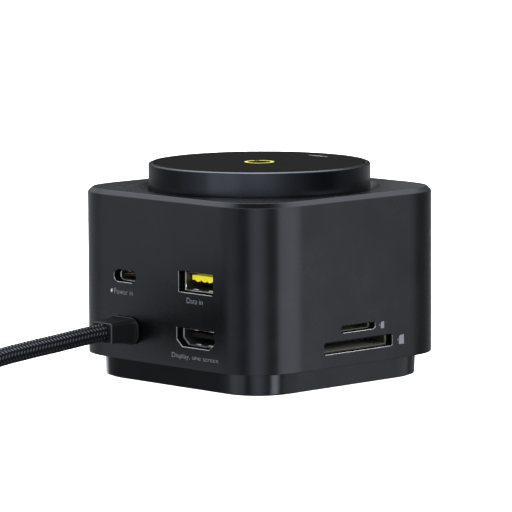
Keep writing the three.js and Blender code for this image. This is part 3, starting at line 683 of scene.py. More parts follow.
def eased_corner(steps=28):
    """Half widths of a soft corner: (x, y, direction) from one side to the next, for a corner 1 wide."""
    def direction(t):
        return (t - EASE * math.sin(2 * math.pi * t) / (2 * math.pi)) * math.pi / 2

    points, x, y, fine = [(0.0, 0.0, 0.0)], 0.0, 0.0, 20
    for i in range(steps * fine):
        turn = direction((i + 0.5) / (steps * fine))
        x += math.cos(turn)
        y += math.sin(turn)
        if (i + 1) % fine == 0:
            points.append((x, y, direction((i + 1) / (steps * fine))))
    return [(px / x, py / x, turn) for px, py, turn in points]


CORNER_CURVE = eased_corner()
# A soft corner reaches this much further along its sides than the plain arc with the same apex.
SOFT_REACH = (math.sqrt(2) - 1) / math.hypot(
    1 - CORNER_CURVE[len(CORNER_CURVE) // 2][0], CORNER_CURVE[len(CORNER_CURVE) // 2][1])


def square_ring(inset, z, corner=CORNER, half=HALF):
    """A square with soft corners at height z, drawn in by inset all round; corner is the like arc's radius."""
    size = corner * SOFT_REACH
    ring = []
    for quarter in range(4):
        spin = Matrix.Rotation(quarter * math.pi / 2, 2)
        for px, py, turn in CORNER_CURVE:
            # This corner is at +X -Y: it starts on the -Y side and ends on the +X side.
            x = half - size + px * size - math.sin(turn) * inset
            y = -half + py * size + math.cos(turn) * inset
            u, v = spin @ Vector((x, y))
            ring.append((u, v, z))
    return ring


def make_housing():
    side = rounded(
        [(0.5, SKIRT), (PAINT, SKIRT), (PAINT, DECK - CHAMFER), (CHAMFER, DECK), (CHAMFER + 1, DECK)],
        [0, 0.25, 0.3, 0.25, 0])
    shell = new_object("housing", loft("housing", [square_ring(inset, z) for inset, z in side]))
    cavity = loft("cavity", [
        square_ring(WALL, SKIRT - 1), square_ring(WALL, DECK - DECK_THICK)])
    top = WELL["radius"] + WELL["bevel"]
    well = turned("well", rounded(
        [(WELL["radius"], DECK - DECK_THICK - 1), (WELL["radius"], DECK - WELL["bevel"]),
         (top, DECK), (top + 3, DECK + 0.12), (top + 3, DECK + 2)],
        [0, 0.25, 0.25, 0, 0]), 192)
    carve(
        shell, cavity, well,
        *(port_cutter(on_rear, outline) for outline in (usb_c_outline, usb_a_outline, video_outline)),
        prism("hole", on_rear, [(rounded_rect(8.4, 5, 1.4, CORD_X, CORD_ROUTE[0][1]), d) for d in (-1, 3)]),
        *(port_cutter(on_card, outline) for outline in (sd_outline, micro_outline)))
    return finish_piece(shell, BASE, "housing", ANODISED, "housing_shell")


housing = make_housing()


# --- connectors


def bundle(name, meshes):
    """One mesh out of several."""
    work = bmesh.new()
    for mesh in meshes:
        work.from_mesh(mesh)
        bpy.data.meshes.remove(mesh)
    made = bpy.data.meshes.new(name)
    work.to_mesh(made)
    work.free()
    return made


def bar(place, u, v, wide, tall, depth0, depth1, corner=0.1, wide1=None, tall1=None, v1=None):
    """A straight or tapered bar that goes into a face, with its near end's edge broken."""
    far = rounded_rect(wide1 or wide, tall1 or tall, corner, u, v if v1 is None else v1, 3)
    near = rounded_rect(wide, tall, corner, u, v, 3)
    tip = rounded_rect(wide - 0.12, tall - min(0.12, tall / 3), corner, u, v, 3)
    return prism("bar", place, [(tip, depth0), (near, depth0 + 0.06), (far, depth1)])


def spring(place, u, v, wide, rise, depth):
    """A spring finger of a connector's shell: rise is how far it stands out from the wall, up or down."""
    return bar(place, u, v + rise / 2, wide, abs(rise), depth, depth + 1.6, 0.05, tall1=0.06, v1=v)


SHEET = 0.32  # thickness of a connector's shell, drawn a little heavy
CONNECTORS = []  # what the ports' own light falls on
EDGES = {on_rear: [], on_card: []}
MOUTHS = []


def connector(name, meshes, slot, material, *replaced):
    return make_piece(name, bundle(name, meshes), BASE, slot, material, *replaced)


def lit_connector(*details):
    CONNECTORS.append(connector(*details))
    return CONNECTORS[-1]


def shell_parts(name, outline, gap, deep, fingers, replaced):
    """A connector's shell, clear of its hole by gap: the steel mouth with its fingers, and the tube behind it in
    near-black, which is painted shade for the inside of the port.
    """
    seam = MOUTH + 0.22

    def ring(start, end, *mouth):
        return tube("ring", on_rear, lambda g: outline(g - gap), lambda g: outline(-gap - SHEET - g),
                    start, end, *mouth)

    MOUTHS.append(lit_connector(
        name + "_mouth", [ring(MOUTH, seam), *fingers], "connector_steel", SHELL_STEEL))
    # Painted shade: the tube behind the mouth is near-black.
    connector(name + "_shell", [ring(seam, MOUTH + deep, 0.01, 0.01)], "connector_steel", PORT_TUBE_SHADE, replaced)


def back_wall(outline, inset, deep, thick=1.8):
    return prism("back", on_rear, [(outline(-inset), MOUTH + deep - d) for d in (thick + 0.2, 0.2)])


def edge_ring(name, place, outline):
    """The bare, diamond-cut bevel round an opening, and behind it a near-black sleeve in the hole, which is painted
    shade.
    """
    shade_depth = MOUTH + 1.2
    bevel = ((0.15, PAINT), (-0.04, 0.21), (0.12, 0.29))
    # Painted shade: the near-black sleeve inside the hole.
    shade_sleeve = ((-0.03, 0.25), (-0.03, shade_depth), (-0.45, shade_depth), (-0.45, shade_depth + 0.2), (0.1, shade_depth + 0.2), (0.1, 0.3))
    for part, material, steps in (("edge", BARE_EDGE, bevel), ("throat", THROAT_SHADE, shade_sleeve)):
        ring = prism(part, place, [(outline(grow), depth) for grow, depth in steps], closed=True)
        piece = connector(name + "_" + part, [ring], "housing", material)
        if part == "edge":
            EDGES[place].append(piece)


def make_power_port():
    u, v, deep = USB_C["u"], USB_C["v"], 8
    shell_parts("power_port", usb_c_outline, 0.17, deep, [], "usb_c_shell")
    connector("power_port_tongue", [
        bar(on_rear, u, v, 6.7, 0.7, MOUTH + 0.9, MOUTH + deep - 1, 0.2),
        bar(on_rear, u, v, 6.9, 1.5, MOUTH + 3.2, MOUTH + deep - 1, 0.3),
        back_wall(usb_c_outline, 0.47, deep),
    ], "black_plastic", PLASTIC, "usb_c_tongue")
    lit_connector("power_port_contacts", [
        bar(on_rear, u + (i - 5.5) * 0.5, v + side * 0.36, 0.26, 0.05, MOUTH + 1.25, MOUTH + 3.2, 0.01)
        for i in range(12) for side in (-1, 1)], "connector_steel", CONTACT)


def make_data_port():
    u, v, deep = USB_A["u"], USB_A["v"], 13.5
    low, top = v - USB_A["tall"] / 2 + 0.2, v + USB_A["tall"] / 2 - 0.2
    left = u + USB_A["wide"] / 2 - 0.2
    fingers = []
    for at in (-2.9, 2.9):
        fingers += [spring(on_rear, u + at, low, 1.7, 0.62, MOUTH + 0.7),
                    spring(on_rear, u + at, top, 1.7, -0.45, MOUTH + 0.7)]
    fingers.append(bar(on_rear, left - 0.2, v - 1.35, 0.4, 0.6, MOUTH + 0.15, MOUTH + 1.6, 0.05, wide1=0.06))
    shell_parts("data_port", usb_a_outline, 0.25, deep, fingers, "usb_a_shell")
    front = MOUTH + 2.0
    middle = v + 0.75
    tongue = [bar(on_rear, u, middle, 11.1, 1.3, front, MOUTH + deep - 2.4, 0.15)]
    make_piece("data_port_back", back_wall(usb_a_outline, 0.42, deep, 2.2), BASE, "black_plastic", PLASTIC)
    pads = []
    for at in (-3.5, -1, 1, 3.5):
        hump = [(u + at - 0.85 * math.cos(k * math.pi / 8), middle - 0.6 - 0.4 * math.sin(k * math.pi / 8))
                for k in range(9)]
        hump += [(u + at + 0.85, middle - 0.4), (u + at - 0.85, middle - 0.4)]
        tongue.append(prism("hump", on_rear, [(hump, front + 0.05), (hump, front + 6)]))
        pads.append(bar(on_rear, u + at, middle - 1.0, 0.9, 0.08, front + 0.5, front + 5, 0.02))
    lit_connector("data_port_tongue", tongue, "yellow_plastic", YELLOW, "usb_a_tongue")
    lit_connector("data_port_contacts", pads, "connector_steel", CONTACT)


def make_video_port():
    u, v, deep = VIDEO["u"], VIDEO["v"], 10.5
    low, top = v - VIDEO["tall"] / 2 + 0.2, v + VIDEO["tall"] / 2 - 0.2
    fingers = [spring(on_rear, u + at, wall, 1.5, rise, MOUTH + 0.4)
               for at, wall, rise in ((-3, low, 0.6), (1.6, low, 0.6), (-3.4, top, -0.5), (2.4, top, -0.5))]
    shell_parts("video_port", video_outline, 0.22, deep, fingers, "video_shell")
    connector("video_port_tongue", [
        bar(on_rear, u, v + 0.35, 10, 1.1, MOUTH + 1, MOUTH + deep - 1, 0.2),
        back_wall(video_outline, 0.47, deep),
    ], "black_plastic", RELIEF, "video_tongue")
    connector("video_port_contacts", [
        bar(on_rear, u + (i - 4.5) * 0.95 + side * 0.2, v + 0.35 + side * 0.56, 0.42, 0.06,
            MOUTH + 1.4, MOUTH + 5, 0.01)
        for i in range(10) for side in (-1, 1)], "connector_steel", CONTACT)


def make_card_reader(name, port, clear, deep, count, replaced):
    """A sheet metal frame with a plastic bed; its contacts hang from the top."""
    u, v, wide = port["u"], port["v"], port["wide"]
    left, floor, ceiling = u - wide / 2, v - clear / 2, v + clear / 2

    def frame_outline(grow):
        return rounded_rect(wide + 1.6 + 2 * grow, clear + 0.8 + 2 * grow, 0.3, u, v, 3)

    def room_outline(grow):
        return rounded_rect(wide + 0.9 - 2 * grow, clear - 2 * grow, 0.15, u, v, 3)

    lit_connector(name + "_frame", [
        tube("ring", on_card, frame_outline, room_outline, MOUTH, MOUTH + deep),
        # A folded tab at the front corner guides the card.
        bar(on_card, left + 0.25, v, 0.55, clear - 0.3, MOUTH + 0.15, MOUTH + 3, 0.05, wide1=0.1),
        bar(on_card, left + 1.6, floor + 0.2, 2.4, 0.3, MOUTH + 1.5, MOUTH + 7, 0.05),
    ], "dark_steel", READER_STEEL, replaced + "_cover")
    lit_connector(name + "_floor", [
        bar(on_card, u, floor + 0.07, wide + 0.4, 0.14, MOUTH + 0.3, MOUTH + deep - 1.5, 0.03),
    ], "dark_steel", TINNED)
    pitch = (wide - 4) / count
    connector(name + "_bed", [
        bar(on_card, u, ceiling - 0.2, wide + 0.4, 0.3, MOUTH + 0.5, MOUTH + deep - 1, 0.05),
        bar(on_card, u, v, wide + 0.6, clear - 0.1, MOUTH + deep - 1.2, MOUTH + deep - 0.4, 0.05),
        *(bar(on_card, u + (i - (count - 1) / 2) * pitch, ceiling - 0.45, pitch * 0.62, 0.5,
              MOUTH + 1.1, MOUTH + 5.5, 0.08) for i in range(count)),
    ], "black_plastic", PLASTIC, replaced + "_base")


make_power_port()
make_data_port()
make_video_port()
make_card_reader("full_card_reader", SD, 2.6, 26, 9, "card_reader")
make_card_reader("small_card_reader", MICRO, 1.6, 14.5, 8, "micro_reader")
edge_ring("power_port", on_rear, usb_c_outline)
edge_ring("data_port", on_rear, usb_a_outline)
edge_ring("video_port", on_rear, video_outline)
edge_ring("full_card", on_card, sd_outline)
edge_ring("small_card", on_card, micro_outline)

# --- print

BOLT = [(0.45, 1.0), (0.0, 0.4), (0.4, 0.4), (0.15, 0.0), (1.0, 0.62), (0.6, 0.62), (0.85, 1.0)]


def printed(name, meshes, ink, body):
    """Flat shapes in one ink."""
    piece = new_object(name, bundle(name, meshes))
    piece.data.materials.clear()
    piece.data.materials.append(ink)
    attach(piece, body)


def words_mesh(words, wide, tall, left, base):
    """Words as flat faces on the rear, fitted into a box from its left end and baseline as seen from outside."""
    curve = bpy.data.curves.new("words", "FONT")
    curve.body = words
    curve.offset = -0.02  # thins the strokes
    curve.resolution_u = 3
    holder = new_object("words", curve)
    mesh = bpy.data.meshes.new_from_object(holder.evaluated_get(bpy.context.evaluated_depsgraph_get()))
    bpy.data.objects.remove(holder)
    spots = np.array([v.co[:2] for v in mesh.vertices])
    low, high = spots.min(0), spots.max(0)
    for vertex in mesh.vertices:
        x = (vertex.co.x - low[0]) / (high[0] - low[0]) * wide
        y = (vertex.co.y - low[1]) / (high[1] - low[1]) * tall
        vertex.co = Vector(on_rear(left - x, base + y, PAINT / 4)) * MM
    return mesh


def flat(place, outline):
    return prism("flat", place, [(outline, PAINT / 2), (outline, PAINT / 4)])


def card(u, v, wide, tall, cut):
    """A memory card with one corner cut off, and a little arrow beside it."""
    w, h = wide / 2, tall / 2
    tip = u + w + 0.28
    body = [(u - w, v - h), (u + w, v - h), (u + w, v + h - cut), (u + w - cut, v + h), (u - w, v + h)]
    return [flat(on_card, body), flat(on_card, [(tip, v - 0.28), (tip + 0.36, v), (tip, v + 0.28)])]


printed("bolt_print", [flat(on_rear, [(19.1 - x, 23.5 + 1.2 * y) for x, y in BOLT])], BOLT_WHITE, BASE)
printed("port_print", [
    words_mesh("Power in", 7.2, 1.5, 17.6, 23.45),
    words_mesh("Data in", 6.0, 1.4, -10.4, 23.45),
    words_mesh("Display, one screen", 17.5, 1.6, -4.6, 8.4),
], INK, BASE)
# The card print uses the darker copy of the ink: painted shade.
printed("card_print", card(-16.63, 11.15, 1.9, 2.45, 0.5) + card(-9.47, 15.72, 1.3, 1.75, 0.35), INK_CARD_SHADE, BASE)

# --- plinth and foot


def make_plinth():
    low, high = box_mm("base_plinth")
    half, corner, taper, wall = 33, 12.4, 0.25, 2.5
    step, flange = SKIRT, high.x
    foot = box_mm("rubber_foot")[1]
    seat, under = foot.x + 0.2, foot.z + 0.2
    outside = rounded(
        [(seat - 3, under), (seat, under), (seat, low.z), (half - taper, low.z), (half, step),
         (flange, step + 0.02), (flange, step + 2), (half - wall, step + 2), (half - wall, under + 1.8),
         (half - wall - 3, under + 1.8)],
        [0, 0, 0.1, 0.3, 0, 0, 0, 0, 0, 0])
    rings = [square_ring(half - reach, z, corner, half) for reach, z in outside]
    return make_piece("plinth", loft("plinth", rings), BASE, "plinth", PLINTH_METAL, "base_plinth")


def make_foot():
    low, high = box_mm("rubber_foot")
    half, corner = high.x, 11
    rows = rounded([(1, low.z), (0, low.z), (0, high.z), (1, high.z)], [0, 0.25, 0.15, 0])
    rings = [[(u, v, z) for u, v in rounded_rect(2 * (half - i), 2 * (half - i), corner - i, steps=16)]
             for i, z in rows]
    foot = new_object("foot_pad", loft("foot_pad", rings))
    carve(foot, prism("groove", upright, [
        (rounded_rect(2 * (half - i), 2 * (half - i), corner - i, steps=16), low.z + z)
        for i, z in ((3, -0.1), (3, 0.25), (4.4, 0.25), (4.4, -0.1))], closed=True))
    finish_piece(foot, BASE, "rubber", RUBBER, "rubber_foot")


plinth = make_plinth()
make_foot()

# --- charging head

HINGE_Y, HINGE_Z = (value / MM for value in frame["joints"][0].get("pos_m", (0, -0.027, 0.0516))[1:])
_, DISC_HIGH = box_mm("disc_ring")
DISC_RADIUS = DISC_HIGH.x
DISC_TOP = DISC_HIGH.z
DISC_BOTTOM = 48.1


def make_disc_ring():
    wall, rim, drop, face = 1.5, 1.45, 0.36, 1.2
    seat = DISC_RADIUS - rim
    web_low, web_high = 53, 54
    profile = rounded(
        [(0, web_low), (DISC_RADIUS - wall, web_low), (DISC_RADIUS - wall, DISC_BOTTOM),
         (DISC_RADIUS - 0.4, DISC_BOTTOM), (DISC_RADIUS, DISC_BOTTOM + 0.4), (DISC_RADIUS, DISC_TOP - drop),
         (DISC_RADIUS - 0.12, DISC_TOP - drop + 0.14), (DISC_RADIUS - 0.62, DISC_TOP - 0.02),
         (seat + 0.12, DISC_TOP), (seat, DISC_TOP - 0.12), (seat, DISC_TOP - face),
         (DISC_RADIUS - wall, DISC_TOP - face), (DISC_RADIUS - wall, web_high), (0, web_high)],
        [0, 0.3, 0.1, 0.1, 0.2, 0.15, 0.1, 0.1, 0.12, 0.05, 0, 0, 0, 0])
    profile[0] = (0.2, web_low)
    profile[-1] = (0.2, web_high)
    ring = new_object("disc_rim", turned("disc_rim", profile, 192))
    carve(ring, block_mesh("notch", (-6.4, -31, DISC_BOTTOM - 1), (6.4, HINGE_Y + 2.7, 54.1), 0.4))
    weld(ring, *(block_mesh("lug", (x, HINGE_Y - 1.6, 49.7), (x + 3.3, HINGE_Y + 2.9, web_low + 0.4), 0.3)
                 for x in (-9.8, 6.5)))
    return finish_piece(ring, HEAD, "disc_metal", RIM, "disc_ring")


def make_disc_face():
    low, high = box_mm("disc_face")
    radius, top = high.x - 0.1, DISC_TOP - 0.05
    profile = rounded([(0.05, low.z), (radius, low.z), (radius, top), (0.05, top)], [0, 0.1, 0.12, 0], 3)
    make_piece("charging_face", turned("charging_face", profile, 192), HEAD, "disc_face", FACE, "disc_face")


def make_disc_mark():
    """A ring with a gap in the middle of the face, and a row of short bars near the hinge."""
    gap, half_gap, steps = math.radians(-33), math.radians(9), 72
    inner, outer = 3.15, 3.98
    low, top = DISC_TOP - 0.07, DISC_TOP - 0.035
    ends = (gap + half_gap, gap + 2 * math.pi - half_gap)
    angles = [ends[0] + (ends[1] - ends[0]) * i / steps for i in range(steps + 1)]
    outline = [(outer * math.cos(a), outer * math.sin(a)) for a in angles]
    outline += [(inner * math.cos(a), inner * math.sin(a)) for a in reversed(angles)]
    tick = [(r * math.cos(gap + turn), r * math.sin(gap + turn))
            for r, turn in ((3.3, -0.05), (outer, -0.04), (outer, 0.04), (3.3, 0.05))]
    bars = [rounded_rect(0.8, 0.9 + 0.5 * (2 - abs(i - 2)), 0.3, (i - 2) * 1.5, -22.0) for i in range(5)]
    for name, shapes, ink in (("charging_mark", (outline, tick), MARK_YELLOW), ("hinge_mark", bars, INK)):
        printed(name, [prism("mark", upright, [(shape, low), (shape, top)]) for shape in shapes], ink, HEAD)


def rod(radius, low, high, x=0.0, y=0.0, edge=0.08):
    """An upright round rod with broken edges."""
    mesh = turned("rod", [(0.02, low), (radius - edge, low), (radius, low + edge), (radius, high - edge),
                          (radius - edge, high), (0.02, high)], 48)
    mesh.transform(Matrix.Translation((x * MM, y * MM, 0)))
    return mesh


def make_well_tray():
    floor, thick = 46.2, 1.5
    top = DECK - DECK_THICK - 0.2
    inner, outer = WELL["radius"], WELL["radius"] + 2.6
    tray = new_object("charging_well", turned("charging_well", rounded(
        [(0.02, floor - thick), (outer, floor - thick), (outer, top - 1.4), (outer + 0.8, top - 1.4),
         (outer + 0.8, top), (inner, top), (inner, floor), (0.02, floor)],
        [0, 0.4, 0, 0.2, 0.1, 0.15, 0.8, 0]), 160))
    screws = [middle_mm(f"tray_screw_{i}")[:2] for i in range(1, 5)]
    weld(tray, *(rod(3, top - 1.4, top, x, y) for x, y in screws),
         *(rod(1.6, floor - 0.2, DISC_BOTTOM - 0.2, x, y, 0.25) for x, y in ((0, 20), (17, -8), (-17, -8))))
    slot = block_mesh("slot", (-5.5, HINGE_Y - 2, floor - 3), (5.5, HINGE_Y + 2, floor + 1), 0.3)
    carve(tray, slot, *(rod(1.2, top - 3, top + 1, x, y) for x, y in screws))
    finish_piece(tray, BASE, "black_plastic", PLASTIC, "well_tray")


def make_disc_base():
    low, high = DISC_BOTTOM, DISC_BOTTOM + 1.3
    radius = DISC_RADIUS - 1.65
    base = new_object("head_underside", turned("head_underside", rounded(
        [(0.02, low), (radius, low), (radius, high), (0.02, high)], [0, 0.2, 0.1, 0]), 160))
    cuts = [block_mesh("room", (-10.1, -DISC_RADIUS - 1, low - 1), (10.1, HINGE_Y + 3.2, high + 1), 0.4)]
    for i in range(1, 4):
        x, y = middle_mm(f"disc_screw_{i}")[:2]
        cuts += [rod(1, low - 1, high + 1, x, y), rod(1.85, low - 1, low + 0.7, x, y, 0.05)]
    groove = [(18.6, low - 0.1), (19.4, low - 0.1), (19.3, low + 0.25), (18.7, low + 0.25)]
    carve(base, *cuts, turned("groove", groove, 96, True))
    finish_piece(base, HEAD, "black_plastic", PLASTIC, "disc_base")


def make_knuckle():
    under = 46.2 - 1.5 - 0.2
    barrel = turned("barrel", [
        (0.96, -5.2), (2.0, -5.2), (2.1, -5.1), (2.1, 5.1), (2.0, 5.2), (0.96, 5.2)], 64, True)
    barrel.transform(Matrix.Rotation(math.pi / 2, 4, "Y"))
    barrel.transform(Matrix.Translation((0, HINGE_Y * MM, HINGE_Z * MM)))
    knuckle = new_object("hinge_bracket", barrel)
    post = block_mesh("post", (-5.2, HINGE_Y - 1.6, under - 0.5), (5.2, HINGE_Y + 1.6, HINGE_Z - 1.2), 0.2)
    plate = block_mesh("plate", (-9.2, HINGE_Y - 2.4, under - 1.4), (9.2, HINGE_Y + 4, under), 0.2)
    weld(knuckle, post, plate)
    finish_piece(knuckle, BASE, "dark_steel", DARK_STEEL, "hinge_knuckle")


disc_rim = make_disc_ring()
make_disc_face()
make_disc_mark()
make_well_tray()
make_disc_base()
make_knuckle()


# --- strain relief


def make_strain_relief():
    x, z = CORD_X, CORD_ROUTE[0][1]
    out = REAR + 0.2
    end = CORD_ROUTE[0][0] + 0.25  # the cable starts a little way inside the socket

    def skin(name, rows, closed=False):
        """A loft over rows of (width, height, corner, y)."""
        return loft(name, [[(x + u, y, z + v) for u, v in rounded_rect(wide, tall, corner, steps=8)]
                           for wide, tall, corner, y in rows], closed)

    relief = make_piece("cable_relief", skin("cable_relief", [
        (3.6, 2.8, 1.2, REAR - 2.4), (8, 4.6, 1.2, REAR - 2.4), (8, 4.6, 1.2, out), (11.6, 7, 2.9, out),
        (11.8, 7.2, 3, out + 0.1), (11.8, 7.2, 3, out + 0.55), (11.6, 7, 2.9, out + 0.67),
        (9.9, 6.35, 1.3, out + 0.67), (9.6, 6.2, 1.1, out + 0.85), (9.2, 6.1, 0.95, out + 2.4),
        (7.5, 5.4, 0.75, end - 0.25), (7.36, 5.28, 0.72, end - 0.07), (7.1, 5.06, 0.66, end),
        (4.98, 4.98, 2.4, end), (4.9, 4.9, 2.4, end - 0.1), (4.9, 4.9, 2.4, end - 0.6),
        (4.4, 4.4, 2.1, end - 0.6)]), BASE, "strain_relief", RELIEF, "strain_relief")
    # Painted highlight: a thin lighter ring round the end of the relief, where its edge catches the light.
    make_piece("relief_painted_highlight", skin("relief_painted_highlight", [
        (7.3, 5.22, 0.7, end - 0.32), (7.5, 5.4, 0.74, end - 0.24), (7.46, 5.36, 0.74, end - 0.04),
        (7.3, 5.2, 0.7, end + 0.04), (6.9, 4.98, 0.6, end + 0.04), (6.9, 4.98, 0.6, end - 0.32)], closed=True),
        BASE, "strain_relief", RELIEF_RIM_HIGHLIGHT)
    return relief


def plug_skin(name, rows):
    """A loft over rows of (width, height, corner, place along the plug)."""
    rings = []
    for wide, tall, corner, along in rows:
        rings.append([plug_place(PLUG["chord"] + u, along, v) for u, v in rounded_rect(wide, tall, corner, steps=8)])
    return loft(name, rings)


def make_plug():
    """The moulded grip, with a waist and a softened back, and the metal shell."""
    back = (PLUG["grip"] + PLUG["shell"]) / 2
    front, tip = back - PLUG["grip"], -back
    wide, tall = PLUG["grip_wide"], PLUG["grip_tall"]
    grip = plug_skin("plug_body", [
        (5.0, 5.0, 2.4, back - 0.5), (5.0, 5.0, 2.4, back), (5.6, 5.3, 2.4, back), (6.4, 5.5, 2.5, back - 0.3),
        (7.6, 5.6, 2.5, back - 3.6), (wide - 0.5, tall - 0.1, 2.5, back - 5.2), (wide, tall, 2.5, back - 6.4),
        (wide, tall, 2.5, front + 1.2), (wide - 0.3, tall - 0.3, 2.4, front + 0.4),
        (wide - 1.1, tall - 1.1, 2.1, front), (8.6, 2.8, 1.35, front), (8.5, 2.7, 1.3, front + 0.6)])
    shell = plug_skin("plug_metal", [
        (8.25, 2.4, 1.2, front - 0.2), (8.25, 2.4, 1.2, tip + 0.15), (8.05, 2.2, 1.1, tip),
        (7.6, 1.75, 0.87, tip), (7.6, 1.75, 0.87, front - 1.6)])
    return (make_piece("plug_body", grip, BASE, "strain_relief", RELIEF, "plug_grip"),
            make_piece("plug_metal", shell, BASE, "connector_steel", SHELL_STEEL, "plug_shell"))


relief = make_strain_relief()
plug = make_plug()
make_cord()

# --- studio


def group(name, pieces):
    """A collection that only serves to name pieces to a light."""
    made = bpy.data.collections.new(name)
    for piece in pieces:
        made.objects.link(piece)
    return made


def place_light(light, *pieces):
    """Puts a light in the scene that falls on these pieces alone."""
    holder = bpy.data.objects.new(light.name, light)
    bpy.context.scene.collection.objects.link(holder)
    holder.light_linking.receiver_collection = group(light.name + "_receivers", pieces)
    return holder


def area_light(name, place, wide, tall, brightness, *pieces):
    """A soft box at a point in metres, facing the object, that the camera doesn't see."""
    light = bpy.data.lights.new(name, "AREA")
    light.shape = "RECTANGLE"
    light.size = wide
    light.size_y = tall
    light.energy = brightness * math.pi * wide * tall
    holder = place_light(light, *pieces)
    holder.location = place
    holder.rotation_mode = "QUATERNION"
    holder.rotation_quaternion = Vector(place).to_track_quat("Z", "Y")
    holder.visible_camera = False
    return holder


STRIP_FAR = 1.0  # metres from the object to the strips


def strip_light(name, toward, width, brightness, *pieces):
    """An upright strip at the horizon; toward is in degrees from +Y towards -X, and width as the object sees it."""
    turn = math.radians(toward)
    place = (-math.sin(turn) * STRIP_FAR, math.cos(turn) * STRIP_FAR, -0.1)
    wide = 2 * STRIP_FAR * math.tan(math.radians(width) / 2)
    return area_light(name, place, wide, 1.1, brightness, *pieces)


def make_floor():
    reach = 12
    mesh = bpy.data.meshes.new("floor")
    mesh.from_pydata([(-reach, -reach, 0), (reach, -reach, 0), (reach, reach, 0), (-reach, reach, 0)],
                     [], [(0, 1, 2, 3)])
    g = Graph("pale_floor")
    grit = g.noise(g.place(), 40, 3)
    floor = new_object("floor", mesh, g.done(
        g.mix(grit, (0.88, 0.88, 0.88), (0.92, 0.92, 0.92)), 0.9, Specular_IOR_Level=0.0))
    floor.visible_glossy = False
    floor.visible_diffuse = False
    floor.visible_shadow = False
    panel = area_light("floor_light", (0, 0, 2.2), 2.4, 2.4, 4.0, floor)
    # Nearly all the light of so large a floor comes from right above it, so it is lit by a sun as well.
    light = bpy.data.lights.new("floor_sun", "SUN")
    light.energy = 6
    light.angle = math.radians(60)
    sun = place_light(light, floor)
    panel.light_linking.blocker_collection = sun.light_linking.blocker_collection = group("floor_blockers", [floor])


# Brightness of the studio: degrees from +Y towards -X, for what lies at the horizon and below it,
# for the low band above the horizon, and for the band half way up.
LOW_BAND = [
    (-180, 0.30), (-154, 0.33), (-130, 0.45), (-110, 0.27), (-90, 0.26), (-66, 0.25), (-50, 0.23),
    (-34, 0.45), (-18, 0.80), (-4, 0.50), (8, 0.22), (18, 0.30), (34, 1.15), (46, 1.4), (58, 1.0), (76, 0.3),
    (94, 0.2), (106, 0.02), (122, 0.03), (142, 0.22), (166, 0.24),
]
HAZE_BAND = [
    (-180, 0.12), (-134, 0.06), (-120, 0.10), (-90, 0.15), (-50, 0.5), (0, 0.6), (46, 1.0), (90, 0.5),
    (134, 0.6), (165, 0.15)]
MIDDLE_BAND = [
    (-180, 0.6), (-150, 0.12), (-140, 0.15), (-123, 0.65), (-90, 1.0), (-50, 1.0), (46, 2.2), (134, 1.0),
    (165, 0.8)]
HIGH_BAND = [
    (-180, 2.6), (-155, 2.6), (-146, 3.5), (-134, 8.5), (-124, 5.0), (-110, 3.0), (-80, 2.6), (-20, 1.8),
    (46, 3.0), (100, 1.6), (150, 2.6)]
ZENITH = 0.2
BAND_PEAK = 10.0  # above every brightness in the bands, because a ramp's colours end at 1


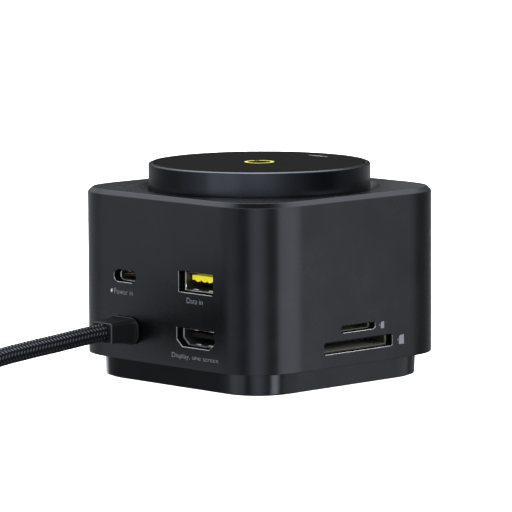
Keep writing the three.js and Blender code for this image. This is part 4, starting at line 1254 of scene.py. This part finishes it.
def make_world():
    world = bpy.data.worlds.new("studio")
    bpy.context.scene.world = world
    g = Graph("studio", world)
    g.tree.nodes.clear()
    split = g.node("ShaderNodeSeparateXYZ", {0: g.node("ShaderNodeTexCoord").outputs["Generated"]})
    angle = g.math("ARCTAN2", g.math("MULTIPLY", split.outputs[0], -1.0), split.outputs[1])
    turn = g.span(angle, 0, 1, -math.pi, math.pi)

    def band(stops):
        ramp = g.node("ShaderNodeValToRGB", {0: turn})
        ramp.color_ramp.interpolation = "EASE"
        made = ramp.color_ramp.elements
        while len(made) < len(stops) + 1:
            made.new(0.5)
        for stop, (degrees, value) in zip(made, [*stops, (180, stops[0][1])]):
            stop.position = (degrees + 180) / 360
            stop.color = (value / BAND_PEAK,) * 3 + (1,)
        return g.math("MULTIPLY", ramp.outputs[0], BAND_PEAK)

    def above(start, end, lower, upper):
        share = g.node("ShaderNodeMapRange", {"Value": split.outputs[2], "From Min": start, "From Max": end},
                       interpolation_type="SMOOTHSTEP").outputs[0]
        return g.node("ShaderNodeMix", {0: share, 2: lower, 3: upper}).outputs[0]

    level = above(-0.04, 0.06, band(LOW_BAND), band(HAZE_BAND))
    level = above(0.24, 0.36, level, band(MIDDLE_BAND))
    level = above(0.5, 0.68, level, band(HIGH_BAND))
    level = above(0.8, 0.92, level, ZENITH)
    # The backdrop itself is plain white.
    is_camera = g.node("ShaderNodeLightPath").outputs["Is Camera Ray"]
    seen = g.node("ShaderNodeMix", {0: is_camera, 2: level, 3: 1.1}).outputs[0]
    shader = g.node("ShaderNodeBackground", {"Color": (0.935, 0.96, 1.0, 1), "Strength": seen})
    g.node("ShaderNodeOutputWorld", {0: shader.outputs[0]})


def make_port_lights():
    """Light straight into the ports and on their bevels, which the rest of the object would keep off them."""
    for name, place, wide, brightness, pieces in (
            ("rear_ports", (-0.18, 0.6, 0.05), 0.5, 4.2, CONNECTORS),
            ("card_slots", (-0.55, 0.1, 0.3), 0.5, 3.4, CONNECTORS),
            ("rear_edges", (0.71, 0.12, 0.72), 0.4, 0.95, EDGES[on_rear]),
            ("rear_mouths", (0.43, 0.42, -0.04), 0.4, 1.3, MOUTHS),
            ("card_edges", (-0.12, -0.69, 0.74), 0.4, 1.9, EDGES[on_card])):
        panel = area_light(name, place, wide, 0.4, brightness, *pieces)
        panel.light_linking.blocker_collection = group(name + "_blockers", pieces)


def make_strips():
    strip_light("body_side", 111, 34, 1.9, housing)
    strip_light("body_card_face", 134, 18, 0.62, housing)
    strip_light("body_rear", -44, 30, 0.6, housing)
    strip_light("body_left", -90, 60, 0.2, housing)
    strip_light("head_front", 9, 34, 1.15, disc_rim)
    strip_light("plinth_edge", 91, 16, 3.6, plinth)
    strip_light("plinth_card_face", 134, 50, 0.85, plinth)
    strip_light("plinth_front", -8, 36, 0.6, plinth)
    strip_light("plinth_left", -104, 26, 1.5, plinth)
    # A low panel behind the object, off to the right, so that the deck is lighter there.
    area_light("deck_glow", (0.09, -0.33, 0.08), 0.30, 0.10, 0.13, housing)


make_floor()
make_world()
make_strips()
make_port_lights()
bpy.context.scene.view_settings.view_transform = "Standard"
